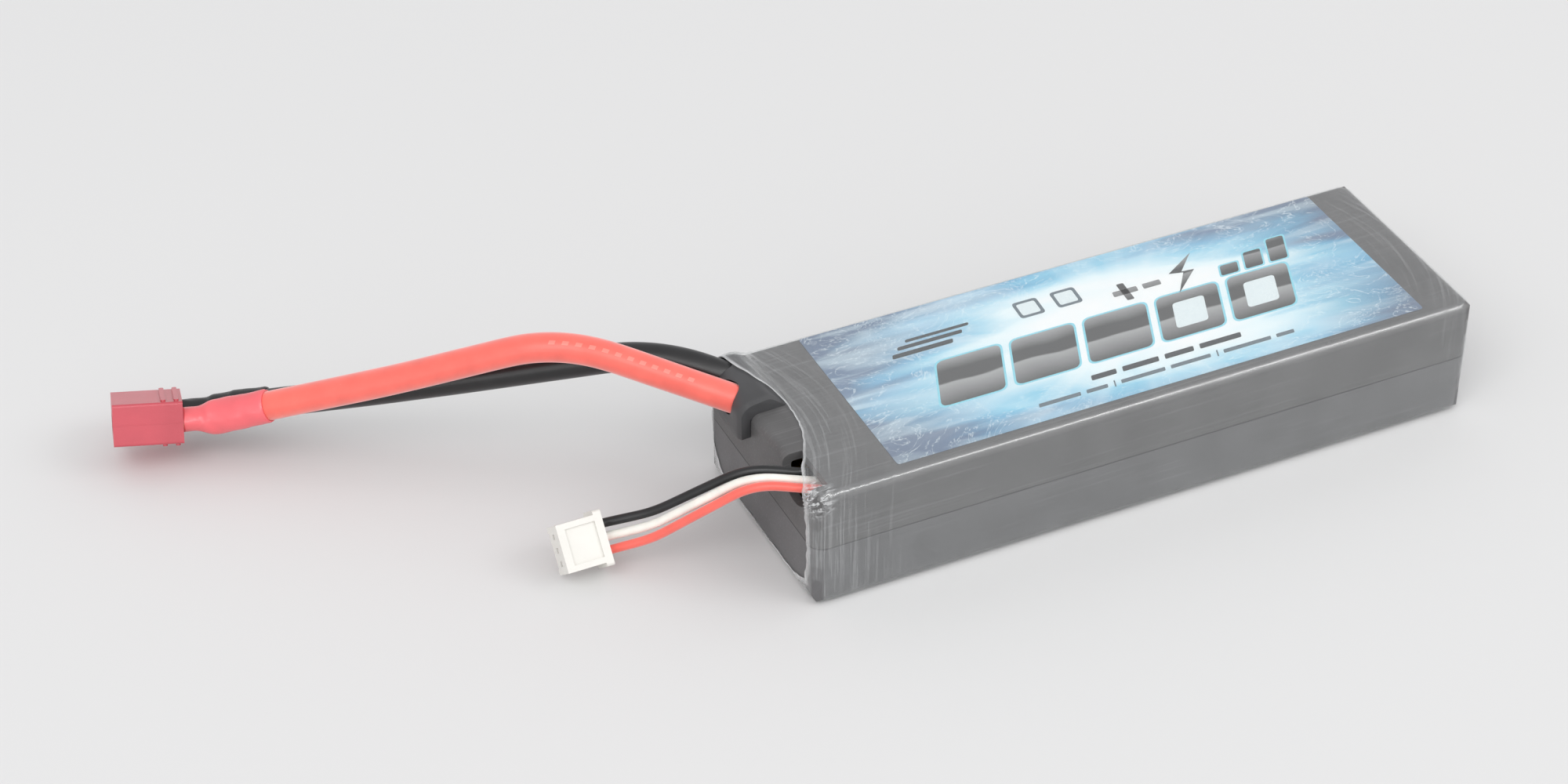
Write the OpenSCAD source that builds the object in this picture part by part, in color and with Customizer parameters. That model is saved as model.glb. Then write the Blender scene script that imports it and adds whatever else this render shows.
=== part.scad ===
// Two-cell hard-case lithium polymer pack with its power lead, T-plug and balance lead.
// Millimetres. +Z up, +X along the pack away from the leads, +Y to the rear.
// Origin: centre of the pack's bottom face.

/* [Pack] */
// Length of the finished pack over the film
pack_l = 138; // [132:1:150]
// Width of the finished pack over the film
pack_w = 46; // [45:0.5:47]
// Height of the finished pack over the film
pack_h = 25; // [24.6:0.1:26]
// Height of the parting line between the case halves
seam_z = 13; // [12:0.5:14]
// Draft of the case sides away from the parting line, degrees
draft = 1.6; // [0.5:0.1:2]
// Radius of the upright corners at the parting line
corner_r = 3; // [2.8:0.1:4]
// Radius of the top and bottom edges
edge_r = 2; // [1.6:0.1:2]

/* [Case] */
// Wall thickness of the case halves
wall = 1.7; // [1.5:0.1:1.9]
// Height of the lap tongue on the base rim
tongue_h = 1.0; // [0.6:0.1:1.4]
// Half width of the balance lead notch
notch_r = 5.3; // [4.5:0.1:5.5]

/* [Film and label] */
// Thickness of the clear shrink film
film_t = 0.14; // [0.12:0.01:0.2]
// Gap between film and case
film_gap = 0.14; // [0.12:0.01:0.2]
// Length of the top label
label_l = 110; // [90:1:112]
// Width of the top label
label_w = 41; // [30:0.5:41]

/* [Cells] */
// Thickness of one pouch cell
cell_t = 9.2; // [8.6:0.1:9.2]
// Width of one pouch cell
cell_w = 41; // [38:0.5:41]
// Width of a cell tab
tab_w = 9.6; // [6:0.2:9.6]

/* [Power lead] */
// Outside diameter of the silicone insulation
power_od = 5.5; // [5:0.1:5.6]
// Diameter of the copper strand core
power_core = 2.9; // [2.4:0.1:3]
// Length of the first straight out of the case
power_rise = 25; // [24:0.5:26]
// Length of the bend over the top of the arch
power_arch = 20; // [19:0.5:21]

/* [T-plug] */
// Width of the plug housing
plug_w = 13; // [12.6:0.1:14]
// Thickness of the plug housing
plug_h = 8; // [7.6:0.1:8.4]
// Length of the plug housing
plug_l = 12.9; // [12:0.1:14]

/* [Balance lead] */
// Outside diameter of a balance wire
bal_od = 1.7; // [1.5:0.05:1.7]
// Diameter of a balance wire's strand core
bal_core = 0.75; // [0.6:0.05:0.8]
// Pitch of the balance plug's contacts
bal_pitch = 2.5; // [2.5:0.5:2.5]
// Width of the balance plug body
bplug_w = 8.9; // [8.8:0.1:9.4]

/* [Hidden] */
$fn = 48;

// colours used by several pieces
copper = [0.85, 0.5, 0.3];
busbar_copper = [0.85, 0.52, 0.32];
solder = [0.8, 0.8, 0.82];
brass = [0.85, 0.68, 0.35];
spring_brass = [0.9, 0.78, 0.45];
pouch_silver = [0.75, 0.76, 0.78];
foam_grey = [0.2, 0.2, 0.2];
power_red = [0.92, 0.20, 0.16];
power_black = [0.07, 0.07, 0.07];
bal_black = [0.08, 0.08, 0.08];
bal_white = [0.93, 0.92, 0.88];
bal_red = [0.92, 0.22, 0.18];

// ======== shape helpers
// plate in the YZ plane from x0 towards +X, children in (y, z)
module yz(x0, thick) {
  translate([x0, 0, 0]) rotate([90, 0, 90]) linear_extrude(thick) children();
}
// plate in the XZ plane from y1 towards -Y, children in (x, z)
module xz(y1, thick) {
  translate([0, y1, 0]) rotate([90, 0, 0]) linear_extrude(thick) children();
}
// box between the [low, high] pairs x, y and z
module box(x, y, z) {
  translate([x[0], y[0], z[0]]) cube([x[1]-x[0], y[1]-y[0], z[1]-z[0]]);
}
// square and round bars along the X axis between the [low, high] pair x
module square_bar(x, half) {
  box(x, [-half, half], [-half, half]);
}
module round_bar(x, r) {
  translate([x[0], 0, 0]) rotate([0, 90, 0]) cylinder(h = x[1]-x[0], r = r);
}
module rod(from, to, r) {
  span = to-from;
  translate(from) rotate([0, acos(span[2]/norm(span)), atan2(span[1], span[0])])
    cylinder(h = norm(span), r = r);
}
// quarter disc in the first quadrant, used to round a corner without overlaps
module sector(r) intersection() {
  circle(r = r);
  polygon([[0, 0], [3*r, 0], [3*r, 3*r], [0, 3*r]]);
}
// rounded rectangle of half sizes half_a by half_b
module rrect(half_a, half_b, r) {
  square([2*(half_a-r), 2*half_b], center = true);
  for (s = [-1, 1]) translate([s*(half_a-r/2), 0]) square([r, 2*(half_b-r)], center = true);
  for (sx = [0, 1], sy = [0, 1])
    mirror([sx, 0]) mirror([0, sy]) translate([half_a-r, half_b-r]) sector(r);
}
// drafted profile, symmetric about x = 0, with rounded top corners;
// each corner disc stands a hair proud of its flats
module side_profile(half, h, r) {
  flat_r = r - 0.004;
  disc_x = half - (h-r)*tan(draft) - flat_r/cos(draft);
  disc_z = h-r;
  side_x = disc_x + flat_r*cos(draft);
  side_z = disc_z + flat_r*sin(draft);
  polygon([[-half, 0], [half, 0], [side_x, side_z], [disc_x, disc_z+flat_r],
    [-disc_x, disc_z+flat_r], [-side_x, side_z]]);
  for (s = [-1, 1]) translate([s*disc_x, disc_z]) circle(r = r);
}
// drafted box from z = 0 to h with rounded corners and top edge: three crossed prisms
module half_box(half_l, half_w, h, corner, edge) intersection() {
  linear_extrude(h) rrect(half_l, half_w, corner);
  xz(half_w+1, 2*half_w+2) side_profile(half_l, h, edge);
  yz(-half_l-1, 2*half_l+2) side_profile(half_w, h, edge);
}
// box end seen from the side: from (x0, z0) up to z1 and back to x1, corner at (x0, z1) rounded
module end_corner(x0, x1, z0, z1, r) {
  polygon([[x0, z0], [x1, z0], [x1, z1], [x0+r, z1], [x0+r, z1-r], [x0, z1-r]]);
  translate([x0+r, z1-r]) mirror([1, 0]) sector(r);
}

// ======== case
pack_x = pack_l/2;             // half sizes of the finished pack
pack_y = pack_w/2;
skin = film_t + film_gap;
case_x = pack_x - skin;        // case half sizes at the parting line
case_y = pack_y - skin;
case_top = pack_h - skin;
case_bot = skin;
case_corner = corner_r - skin;
case_edge = edge_r - skin;
cav_x = case_x - wall;         // cavity half sizes
cav_y = case_y - wall;
cav_top = case_top - wall;
cav_bot = case_bot + wall;
cav_corner = 1.2;
cav_edge = 0.6;
tongue_w = 0.75;               // lap tongue and groove, out from the cavity
groove_w = 0.84;
groove_clear = 0.08;           // above the tongue
seam_gap = 0.02;
cut_x = -80;                   // notch cutters start beyond the end face
notch_y = [5.3, 20.1];         // power notch
notch_z = 19.6;
notch_x1 = -60.9;
bal_notch_y = -14;
bal_notch_z = 18.3;
bal_notch_x1 = -64.6;

module power_notch() {
  box([cut_x, notch_x1], notch_y, [notch_z, 40]);
}
// U-shaped notch open at the top
module balance_notch() {
  yz(cut_x, bal_notch_x1-cut_x) translate([bal_notch_y, bal_notch_z+notch_r]) {
    for (m = [0, 1]) mirror([m, 0]) mirror([0, 1]) sector(notch_r);
    translate([-notch_r, 0]) square([2*notch_r, 20]);
  }
}
module down_from_seam() {
  translate([0, 0, seam_z]) mirror([0, 0, 1]) children();
}
module case_base() color([0.30, 0.30, 0.31]) difference() {
  union() {
    down_from_seam() half_box(case_x, case_y, seam_z-case_bot, case_corner, case_edge);
    translate([0, 0, seam_z-0.6]) linear_extrude(tongue_h+0.6)
      rrect(cav_x+tongue_w, cav_y+tongue_w, cav_corner+tongue_w);
  }
  down_from_seam() half_box(cav_x, cav_y, seam_z-cav_bot, cav_corner, cav_edge);
  // bore through the tongue
  translate([0, 0, seam_z-0.5]) linear_extrude(3)
    rrect(cav_x-0.02, cav_y-0.02, cav_corner-0.02);
}
module case_lid() color([0.33, 0.33, 0.34]) difference() {
  difference() {
    translate([0, 0, seam_z+seam_gap])
      half_box(case_x, case_y, case_top-seam_z-seam_gap, case_corner, case_edge);
    power_notch();
    balance_notch();
  }
  translate([0, 0, seam_z-0.5])
    half_box(cav_x+0.014, cav_y+0.014, cav_top-seam_z+0.5, cav_corner, cav_edge);
  // lap groove
  translate([0, 0, seam_z-1]) linear_extrude(tongue_h+1+groove_clear)
    rrect(cav_x+groove_w, cav_y+groove_w, cav_corner+groove_w);
}

// ======== cells, stacked upwards from the cavity floor
foam_t = 0.8;
glue_t = 0.75;
layer_gap = 0.05;
case_fit = 0.04;               // between foam and case
pad0 = cav_bot + case_fit;     // undersides of the layers
cell0 = pad0 + foam_t + layer_gap;
glue0 = cell0 + cell_t + layer_gap;
cell1 = glue0 + glue_t + 2*layer_gap;
pad1 = cell1 + cell_t + layer_gap;
cell_mid_z = [cell0 + cell_t/2, cell1 + cell_t/2];
cell_x0 = -55;
cell_x1 = pack_x - 4.5;
tab_y = 12;
tab_t = 0.2;
fold_h = 4;                    // height of a folded tab end

// ---- places of the tab board parts along X
bus_t = 0.5;
tape_t = 0.1;
plate_gap = 0.05;
board_x = -59.3;
bus_x = board_x - bus_t - plate_gap;
fold_x = bus_x - tab_t - plate_gap;
tape_x = fold_x - tape_t - plate_gap;

// pouch with a thin flange at the tab end
module pouch(z) {
  yz(cell_x0, cell_x1-cell_x0) translate([0, z+cell_t/2]) rrect(cell_w/2, cell_t/2, 2.2);
  yz(cell_x0-1.8, 1.9) translate([0, z+cell_t/2]) square([39, 0.9], center = true);
}
module cell_lower() color(pouch_silver) pouch(cell0);
module cell_upper() color(pouch_silver) pouch(cell1);
// a tab leaves its cell, passes the board and folds over the busbar; up is +1 or -1
module tab(y, z, up) {
  side = [y-tab_w/2, y+tab_w/2];
  fold = [z-tab_t/2*up, z+fold_h*up];
  box([fold_x, cell_x0-1.85], side, [z-tab_t/2, z+tab_t/2]);
  box([fold_x, fold_x+tab_t], side, [min(fold), max(fold)]);
}
module cell_positive_tabs() color([0.85, 0.86, 0.88]) {
  tab(tab_y, cell_mid_z[0], 1);
  tab(-tab_y, cell_mid_z[1], -1);
}
module cell_negative_tabs() color([0.78, 0.74, 0.66]) {
  tab(-tab_y, cell_mid_z[0], 1);
  tab(tab_y, cell_mid_z[1], -1);
}
module cell_adhesive_pad() color([0.92, 0.92, 0.88])
  box([-45, 55], [-15, 15], [glue0, glue0+glue_t]);
module foam_pad(z0, z1) {
  box([-50, 60], [-18.5, 18.5], [z0, z1]);
}
module bottom_foam_pad() color(foam_grey) foam_pad(pad0, pad0+foam_t);
module top_foam_pad() color(foam_grey) foam_pad(pad1, min(pad1+foam_t, cav_top-case_fit));
module end_foam_block() color([0.22, 0.22, 0.22])
  box([cell_x1+0.1, cav_x-0.5], [-18, 18], [3.2, 21.6]);

// ======== tab board
joint_z = 20.7;                // height of all solder joints on the board
power_y = [8.95, 15.9];        // power joints: red, black
bal_pad_y = [-12.0, -14.4, -16.8];
pad_x = bus_x + 0.3;           // outer face of the balance pads
core_r = power_core/2;
bal_core_r = bal_core/2;
bal_tip = 0.24;                // radius of the tinned end of a balance core
joint_gap = 0.02;              // from a copper face to its solder
core_gap = 0.03;               // from a copper face to the strand end

module tab_slots() {
  for (y = [-tab_y, tab_y], z = cell_mid_z)
    translate([y, z]) square([tab_w+0.5, 0.6], center = true);
}
module slotted_board(x0, thick) {
  yz(x0, thick) difference() {
    translate([-20, 3]) square([40, 18.9]);
    tab_slots();
  }
}
module tab_insulator() color([0.2, 0.45, 0.35]) slotted_board(-57.7, 0.3);
module tab_board() color([0.1, 0.35, 0.2]) slotted_board(board_x, 1.2);
// slotted copper plate made of rectangles [y, z, width, height]
module busbar(rects) {
  yz(bus_x, bus_t) difference() {
    union() for (q = rects) translate([q[0], q[1]]) square([q[2], q[3]]);
    tab_slots();
  }
}
module positive_busbar() color(busbar_copper)
  busbar([[-17.4, 12.6, 10.8, 6.2], [-9, 18, 2.4, 4], [-9, 19.3, 20.4, 2.7]]);
module negative_busbar() color(busbar_copper)
  busbar([[-17.4, 3.1, 10.8, 8.8], [-17.4, 3.1, 37.2, 1.9],
    [17.8, 3.1, 2, 18.8], [12.6, 19.3, 7.2, 2.6]]);
module series_busbar() color(busbar_copper) busbar([[6.7, 5.6, 10.7, 13.1]]);
module balance_pads() color([0.85, 0.75, 0.5])
  for (y = bal_pad_y) yz(pad_x, 0.2) translate([y, joint_z]) square(1.7, center = true);
module insulating_tape() color([0.75, 0.5, 0.15])
  box([tape_x, tape_x+tape_t], [-17.8, 17.6], [3, 18.6]);
// solder cone towards -X with a hole for the strands
module solder_cone(x, y, h, r1, r2, hole_r) {
  translate([x, y, joint_z]) rotate([0, -90, 0]) difference() {
    cylinder(h = h, r1 = r1, r2 = r2);
    translate([0, 0, -1]) cylinder(h = 4, r = hole_r);
  }
}
module power_solder_joints() color(solder)
  for (y = power_y)
    solder_cone(bus_x-joint_gap, y, h = 1.6, r1 = 2.0, r2 = 1.75, hole_r = core_r+0.04);
module balance_solder_joints() color(solder)
  for (y = bal_pad_y)
    solder_cone(pad_x-joint_gap, y, h = 0.9, r1 = 0.8, r2 = 0.6, hole_r = bal_tip+0.04);

// ======== lead routes
// A lead runs in its own upright plane: straight, bend, straight, bend, straight.
// Slopes and turns are in degrees, up positive; a run is a horizontal distance.
function arc_run(length, slope, turn) = (length*180/(turn*PI))*(sin(slope+turn)-sin(slope));
function arc_rise(length, slope, turn) = -(length*180/(turn*PI))*(cos(slope+turn)-cos(slope));
// share of a bend's length at which it has covered the given run
function arc_share(length, slope, turn, run) =
  (asin(sin(slope) + run*turn*PI/(length*180)) - slope)/turn;
// entries of a route
YAW = 0;
LEN1 = 1;
BEND1 = 2;
TURN1 = 3;
LEN2 = 4;
BEND2 = 5;
TURN2 = 6;
LEN3 = 7;
SLOPE1 = 8;
SLOPE2 = 9;
RUN1 = 10;                     // run from the start to the end of the first bend
// the second and third straights are solved so that the lead meets its end point
function route(start, end, slope0, len1, bend1, turn1, bend2, turn2) =
  let (slope1 = slope0+turn1,
       slope2 = slope1+turn2,
       run1 = len1*cos(slope0) + arc_run(bend1, slope0, turn1),
       rise1 = len1*sin(slope0) + arc_rise(bend1, slope0, turn1),
       yaw = atan2(end[1]-start[1], end[0]-start[0]),
       full_run = norm([end[0]-start[0], end[1]-start[1]]),
       run = full_run - run1 - arc_run(bend2, slope1, turn2),
       rise = end[2]-start[2] - rise1 - arc_rise(bend2, slope1, turn2),
       len2 = (run*sin(slope2) - rise*cos(slope2))/sin(slope2-slope1),
       len3 = (rise*cos(slope1) - run*sin(slope1))/sin(slope2-slope1))
  [yaw, len1, bend1, turn1, len2, bend2, turn2, len3, slope1, slope2, run1];

// ---- T-plug place and the points where the leads reach it
plug_pos = [-162.4, 70.5, 9.0];
plug_rot = [-25.4, 4.2, -14.3];
plug_end = plug_l/2;           // rear face, on the wire side
plug_tab_l = 4.5;              // solder tab beyond the rear face
knee_x = plug_end + plug_tab_l + 0.6;
lane_y = [-3.6, 3.6];          // wires at the plug: red, black
function rot_x(v, a) = [v[0], v[1]*cos(a)-v[2]*sin(a), v[1]*sin(a)+v[2]*cos(a)];
function rot_y(v, a) = [v[0]*cos(a)+v[2]*sin(a), v[1], -v[0]*sin(a)+v[2]*cos(a)];
function rot_z(v, a) = [v[0]*cos(a)-v[1]*sin(a), v[0]*sin(a)+v[1]*cos(a), v[2]];
function plug_point(v) =
  plug_pos + rot_z(rot_y(rot_x(v, plug_rot[0]), plug_rot[1]), plug_rot[2]);

// ---- power lead; lists are indexed by red, black
red = 0;
black = 1;
power_r = power_od/2;
core_bore = core_r + 0.06;
knee_scale = 1.03;             // the ball at a knee is a little larger than the lead
wire_in_x = fold_x - 2.2;
power_in = [for (y = power_y) [wire_in_x, y, joint_z]];
power_start = [[-67.46, power_y[red], 24.1], [-66.9, power_y[black], 24.5]];
power_end = [for (y = lane_y) plug_point([knee_x, y, 0])];
power_slope = [17.8, 21.7];
power_route = [
  route(power_start[red], power_end[red], power_slope[red], len1 = power_rise,
    bend1 = power_arch, turn1 = -39.5, bend2 = 14, turn2 = 2.2),
  route(power_start[black], power_end[black], power_slope[black], len1 = 3,
    bend1 = power_arch+1.2, turn1 = -37.2, bend2 = 24, turn2 = 1.5)];
swing_run = 10;                // hinge places: from the exit
lift_run = 47;                 // from the exit
bend_run = 17;                 // back from the plug
swing_gap = 4.4;               // clear gaps between the rigid spans at the hinges
lift_gap = 4.4;
bend_gap = 4.2;

// steps of a lead: [length, turn, span]; the "gap" steps are not drawn
function red_steps(path) =
  let (to_swing = swing_run/cos(power_slope[red]))
  [[to_swing-swing_gap/2, 0, "root"],
   [swing_gap, 0, "gap"],
   [path[LEN1]-to_swing-swing_gap/2, 0, "mid"],
   [path[BEND1], path[TURN1], "mid"]];
// the black wire starts bending sooner, so its first bend carries the root and the swing gap
function black_steps(path) =
  let (slope = power_slope[black], bend = path[BEND1], turn = path[TURN1],
       gap = swing_gap/bend,
       before = arc_share(bend, slope, turn, swing_run - path[LEN1]*cos(slope)) - gap/2,
       after = 1-before-gap)
  [[path[LEN1], 0, "root"],
   [bend*before, turn*before, "root"],
   [bend*gap, turn*gap, "gap"],
   [bend*after, turn*after, "mid"]];
// steps beyond the first bend
function far_steps(path) =
  let (to_lift = (lift_run - path[RUN1])/cos(path[SLOPE1]),
       from_plug = bend_run/cos(path[SLOPE2]))
  [[to_lift-lift_gap/2, 0, "mid"],
   [lift_gap, 0, "gap"],
   [path[LEN2]-to_lift-lift_gap/2, 0, "end"],
   [path[BEND2], path[TURN2], "end"],
   [path[LEN3]-from_plug-bend_gap/2, 0, "end"],
   [bend_gap, 0, "gap"],
   [from_plug-bend_gap/2-1.2, 0, "tail"]];
power_steps = [
  concat(red_steps(power_route[red]), far_steps(power_route[red])),
  concat(black_steps(power_route[black]), far_steps(power_route[black]))];

// ---- balance lead; lists are indexed black, white, red
bal_r = bal_od/2;
bal_bore = bal_core_r + 0.04;
bplug_pos = [-97.9, 4.7, 6.4];
bplug_tilt = 49.7;
bal_in = [for (y = bal_pad_y) [wire_in_x+1.2, y, joint_z]];
bal_start = [[-67, -12.0, 23.0], [-67, -14.1, 22.6], [-67, -16.2, 22.3]];
bal_end = [for (i = [0:2]) bplug_pos
  + [1.2, (1-i)*bal_pitch*cos(bplug_tilt), (1-i)*bal_pitch*sin(bplug_tilt)]];
bal_route = [for (i = [0:2]) route(bal_start[i], bal_end[i], slope0 = 0, len1 = 4.8,
  bend1 = 8.6 + 0.2*i, turn1 = -34.2 - 1.9*i, bend2 = 6, turn2 = 14)];
bal_root_run = 2.9;            // hinge places: from the exit, back from the plug
bal_tail_run = 2.5;
bal_root_gap = 2.6;
bal_tail_gap = 2.4;
function bal_steps(path) =
  [[bal_root_run-bal_root_gap/2, 0, "root"],
   [bal_root_gap, 0, "gap"],
   [path[LEN1]-bal_root_run-bal_root_gap/2, 0, "mid"],
   [path[BEND1], path[TURN1], "mid"],
   [path[LEN2], 0, "mid"],
   [path[BEND2], path[TURN2], "mid"],
   [path[LEN3]-bal_tail_run/cos(path[SLOPE2])-bal_tail_gap/2, 0, "mid"]];

// ======== lead shapes; an inner radius of 0 makes a lead solid
// straights run a hair into the slightly thinner arcs
lap = 0.05;
arc_thin = 0.01;
function bend_radius(length, turn) = length*180/(abs(turn)*PI);
function unit(v) = v/norm(v);
function aim(yaw, slope) = [cos(slope)*cos(yaw), cos(slope)*sin(yaw), sin(slope)];
// frame whose X runs along dir and whose XZ plane holds side as well
function frame_of(origin, dir, side) =
  let (z = unit(side - (dir*side)*dir), y = cross(z, dir))
  [[dir[0], y[0], z[0], origin[0]],
   [dir[1], y[1], z[1], origin[1]],
   [dir[2], y[2], z[2], origin[2]],
   [0, 0, 0, 1]];
module aimed(point, yaw, slope) {
  translate(point) rotate([0, 0, yaw]) rotate([0, -slope, 0]) children();
}
module ring(outer, inner) difference() {
  circle(r = outer);
  if (inner > 0) circle(r = inner);
}
module lead_step(length, turn, outer, inner) {
  if (turn == 0)
    translate([-lap, 0, 0]) rotate([0, 90, 0]) linear_extrude(length + 2*lap)
      ring(outer, inner);
  else {
    radius = bend_radius(length, turn);
    rotate([turn > 0 ? 180 : 0, 0, 0]) translate([0, 0, -radius])
      rotate([-90, 0, 0]) rotate([0, 0, -90])
        rotate_extrude(angle = abs(turn), $fn = 180) translate([radius, 0])
          ring(outer-arc_thin, inner > 0 ? inner+arc_thin : 0);
  }
}
// follows the steps along X and draws those of one span
module lead_walk(steps, span, outer, inner, i = 0) {
  if (i < len(steps)) {
    length = steps[i][0];
    turn = steps[i][1];
    if (steps[i][2] == span) lead_step(length, turn, outer, inner);
    if (turn == 0) translate([length, 0, 0]) lead_walk(steps, span, outer, inner, i+1);
    else {
      radius = bend_radius(length, turn);
      translate([radius*sin(abs(turn)), 0, sign(turn)*radius*(1-cos(turn))])
        rotate([0, -turn, 0]) lead_walk(steps, span, outer, inner, i+1);
    }
  }
}
// lead that runs from start to corner, rounds it and goes on along dir for the length beyond
module knee_lead(start, corner, dir, beyond, radius, outer, inner) {
  dir0 = unit(corner-start);
  turn = acos(dir0*dir);
  cut = radius*tan(turn/2);
  steps = [[norm(corner-start)-cut, 0, "knee"], [radius*turn*PI/180, turn, "knee"],
    [beyond-cut, 0, "knee"]];
  multmatrix(frame_of(start, dir0, dir)) lead_walk(steps, "knee", outer, inner);
}
module power_lead(wire, span, outer, inner) {
  aimed(power_start[wire], power_route[wire][YAW], power_slope[wire])
    lead_walk(power_steps[wire], span, outer, inner);
}
module power_jacket(wire, span) {
  power_lead(wire, span, power_r, core_bore);
}
module power_cores(span) {
  for (wire = [red, black]) power_lead(wire, span, core_r, 0);
}

// ======== wire exit
hood_x = [-70.9, -60.6];
hood_y = [4.4, 21.2];
hood_z = [19.8, 27.7];
hood_r = 2.8;
hood_gap = 0.07;               // between hood and case
sealant_gap = 0.15;            // between sealant and notch
sealant_x1 = -64.2;
sealant_inset = 0.1;           // from the case's end and top faces

module wire_channels(r) {
  for (wire = [red, black]) {
    rod(power_in[wire]-[0.5, 0, 0], power_start[wire], r);
    translate(power_start[wire]) sphere(r = r*knee_scale);
    aimed(power_start[wire], power_route[wire][YAW], power_slope[wire]) round_bar([0, 14], r);
  }
}
module exit_cover() color([0.14, 0.14, 0.15]) difference() {
  xz(hood_y[1], hood_y[1]-hood_y[0]) difference() {
    end_corner(hood_x[0], hood_x[1], hood_z[0], hood_z[1], hood_r);
    end_corner(-case_x-hood_gap, 0, 0, case_top+hood_gap, case_edge+0.1);
  }
  wire_channels(power_r+0.3);
}
module exit_sealant() color([0.06, 0.06, 0.06]) difference() {
  xz(notch_y[1]-sealant_gap, notch_y[1]-notch_y[0]-2*sealant_gap)
    end_corner(-case_x+sealant_inset, sealant_x1, notch_z+sealant_gap,
      case_top-sealant_inset, case_edge+0.1);
  wire_channels(power_r+0.08);
}

// ======== film and label
// plain rounded box, inset all round: three crossed prisms
module skin_box(inset) {
  half_l = pack_x-inset;
  half_w = pack_y-inset;
  half_h = pack_h/2-inset;
  intersection() {
    translate([0, 0, inset]) linear_extrude(2*half_h) rrect(half_l, half_w, corner_r-inset);
    yz(-half_l, 2*half_l) translate([0, pack_h/2]) rrect(half_w, half_h, edge_r-inset);
    xz(half_w, 2*half_w) translate([0, pack_h/2]) rrect(half_l, half_h, edge_r-inset);
  }
}
module film_sleeve() color([0.80, 0.82, 0.84, 0.3]) difference() {
  skin_box(0);
  skin_box(film_t);
  // opening round the wires: across the end face, then back over the top edge
  yz(-pack_x-1, 2.2) translate([1, 13.8]) rrect(21, 12.2, 6);
  translate([-87.9, 5.5, 20.5]) cylinder(h = 20, r = 28.2, $fn = 96);
  box([-pack_x-1, hood_x[1]+0.3], [hood_y[0]-0.3, hood_y[1]+0.3], [20, 40]);
  // smaller opening at the far end
  yz(pack_x-5, 6) translate([0, 12.5]) rrect(15, 6.5, 6);
}
module top_label() color([0.62, 0.82, 0.92])
  translate([4, 0.8, case_top+0.02]) linear_extrude(0.07) rrect(label_l/2, label_w/2, 0.6);

// ======== wires inside the pack and out to the first hinge
module power_root(wire) difference() {
  start = power_start[wire];
  inlet = power_in[wire];
  union() {
    rod(inlet + 0.25*(start-inlet), start, power_r);
    translate(start) sphere(r = power_r*knee_scale);
    power_lead(wire, "root", power_r, 0);
  }
  rod(inlet + 0.3*(inlet-start), start, core_bore);
  translate(start) sphere(r = core_bore*knee_scale);
  power_lead(wire, "root", core_bore, 0);
}
module red_wire_root() color(power_red) power_root(red);
module black_wire_root() color(power_black) power_root(black);
module power_cores_root() color(copper) {
  for (wire = [red, black]) {
    rod([bus_x-core_gap, power_y[wire], joint_z], power_in[wire], core_r);
    rod(power_in[wire], power_start[wire], core_r);
    for (point = [power_in[wire], power_start[wire]])
      translate(point) sphere(r = core_r*knee_scale);
  }
  power_cores("root");
}
// strip is the bare length of core before the insulation starts
module bal_root(i, outer, inner, strip) {
  knee_lead(bal_in[i] + strip*unit(bal_start[i]-bal_in[i]), bal_start[i],
    dir = aim(bal_route[i][YAW], 0), beyond = bal_root_run-bal_root_gap/2, radius = 3,
    outer = outer, inner = inner);
}
module bal_root_jacket(i) {
  bal_root(i, bal_r, bal_bore, strip = 0.7);
}
module balance_black_root() color(bal_black) bal_root_jacket(0);
module balance_white_root() color(bal_white) bal_root_jacket(1);
module balance_red_root() color(bal_red) bal_root_jacket(2);
module balance_cores_root() color(copper) for (i = [0:2]) {
  rod([pad_x-core_gap, bal_pad_y[i], joint_z], bal_in[i] - [0.3, 0, 0], bal_tip);
  bal_root(i, bal_core_r, 0, strip = 0);
}

// ======== power lead spans
module red_wire_mid() color(power_red) power_jacket(red, "mid");
module black_wire_mid() color(power_black) power_jacket(black, "mid");
module power_cores_mid() color(copper) power_cores("mid");
module red_wire_end() color(power_red) power_jacket(red, "end");
module black_wire_end() color(power_black) power_jacket(black, "end");
module power_cores_end() color(copper) power_cores("end");
// the insulation of a tail stops short of the knee at the plug
module power_tail(wire) difference() {
  power_jacket(wire, "tail");
  translate(power_end[wire]) sphere(r = 3.4);
}
module red_wire_tail() color(power_red) power_tail(red);
module black_wire_tail() color(power_black) power_tail(black);
module power_cores_tail() color(copper) power_cores("tail");

// ======== T-plug: +X towards the wires, Y across the width
contact_t = 0.8;
contact_a_z = -1.3;            // underside of the flat contact
contact_b_y = 2.3;             // -Y face of the upright contact
contact_x = -plug_end + 0.8;
contact_l = plug_l - 2.4;
plug_tab_w = 4.0;
leaf_r = 22.0;                 // contact spring: inner radius, thickness, half length, width
leaf_t = 0.3;
leaf_half = 4.2;
leaf_w = 4.4;
leaf_x = -1.0;

module in_plug() {
  translate(plug_pos) rotate(plug_rot) children();
}
// bent form: back along the wire from the knee, and forward to front_x in the plug
module sleeve_form(wire, knee_r, back_l, back_r, front_x, front_r) {
  path = power_route[wire];
  translate(power_end[wire]) sphere(r = knee_r);
  aimed(power_end[wire], path[YAW]+180, -path[SLOPE2]) round_bar([0, back_l], back_r);
  in_plug() translate([0, lane_y[wire], 0]) round_bar([front_x, knee_x], front_r);
}
module sleeve(wire) difference() {
  sleeve_form(wire, knee_r = 3.16*1.02, back_l = 12.4, back_r = 3.16,
    front_x = plug_end+0.06, front_r = 2.75);
  sleeve_form(wire, knee_r = 2.86, back_l = 14, back_r = power_r+0.06,
    front_x = plug_end-1, front_r = 2.4);
}
module red_heat_shrink() color([0.93, 0.28, 0.33]) sleeve(red);
module black_heat_shrink() color([0.06, 0.06, 0.06]) sleeve(black);

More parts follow.
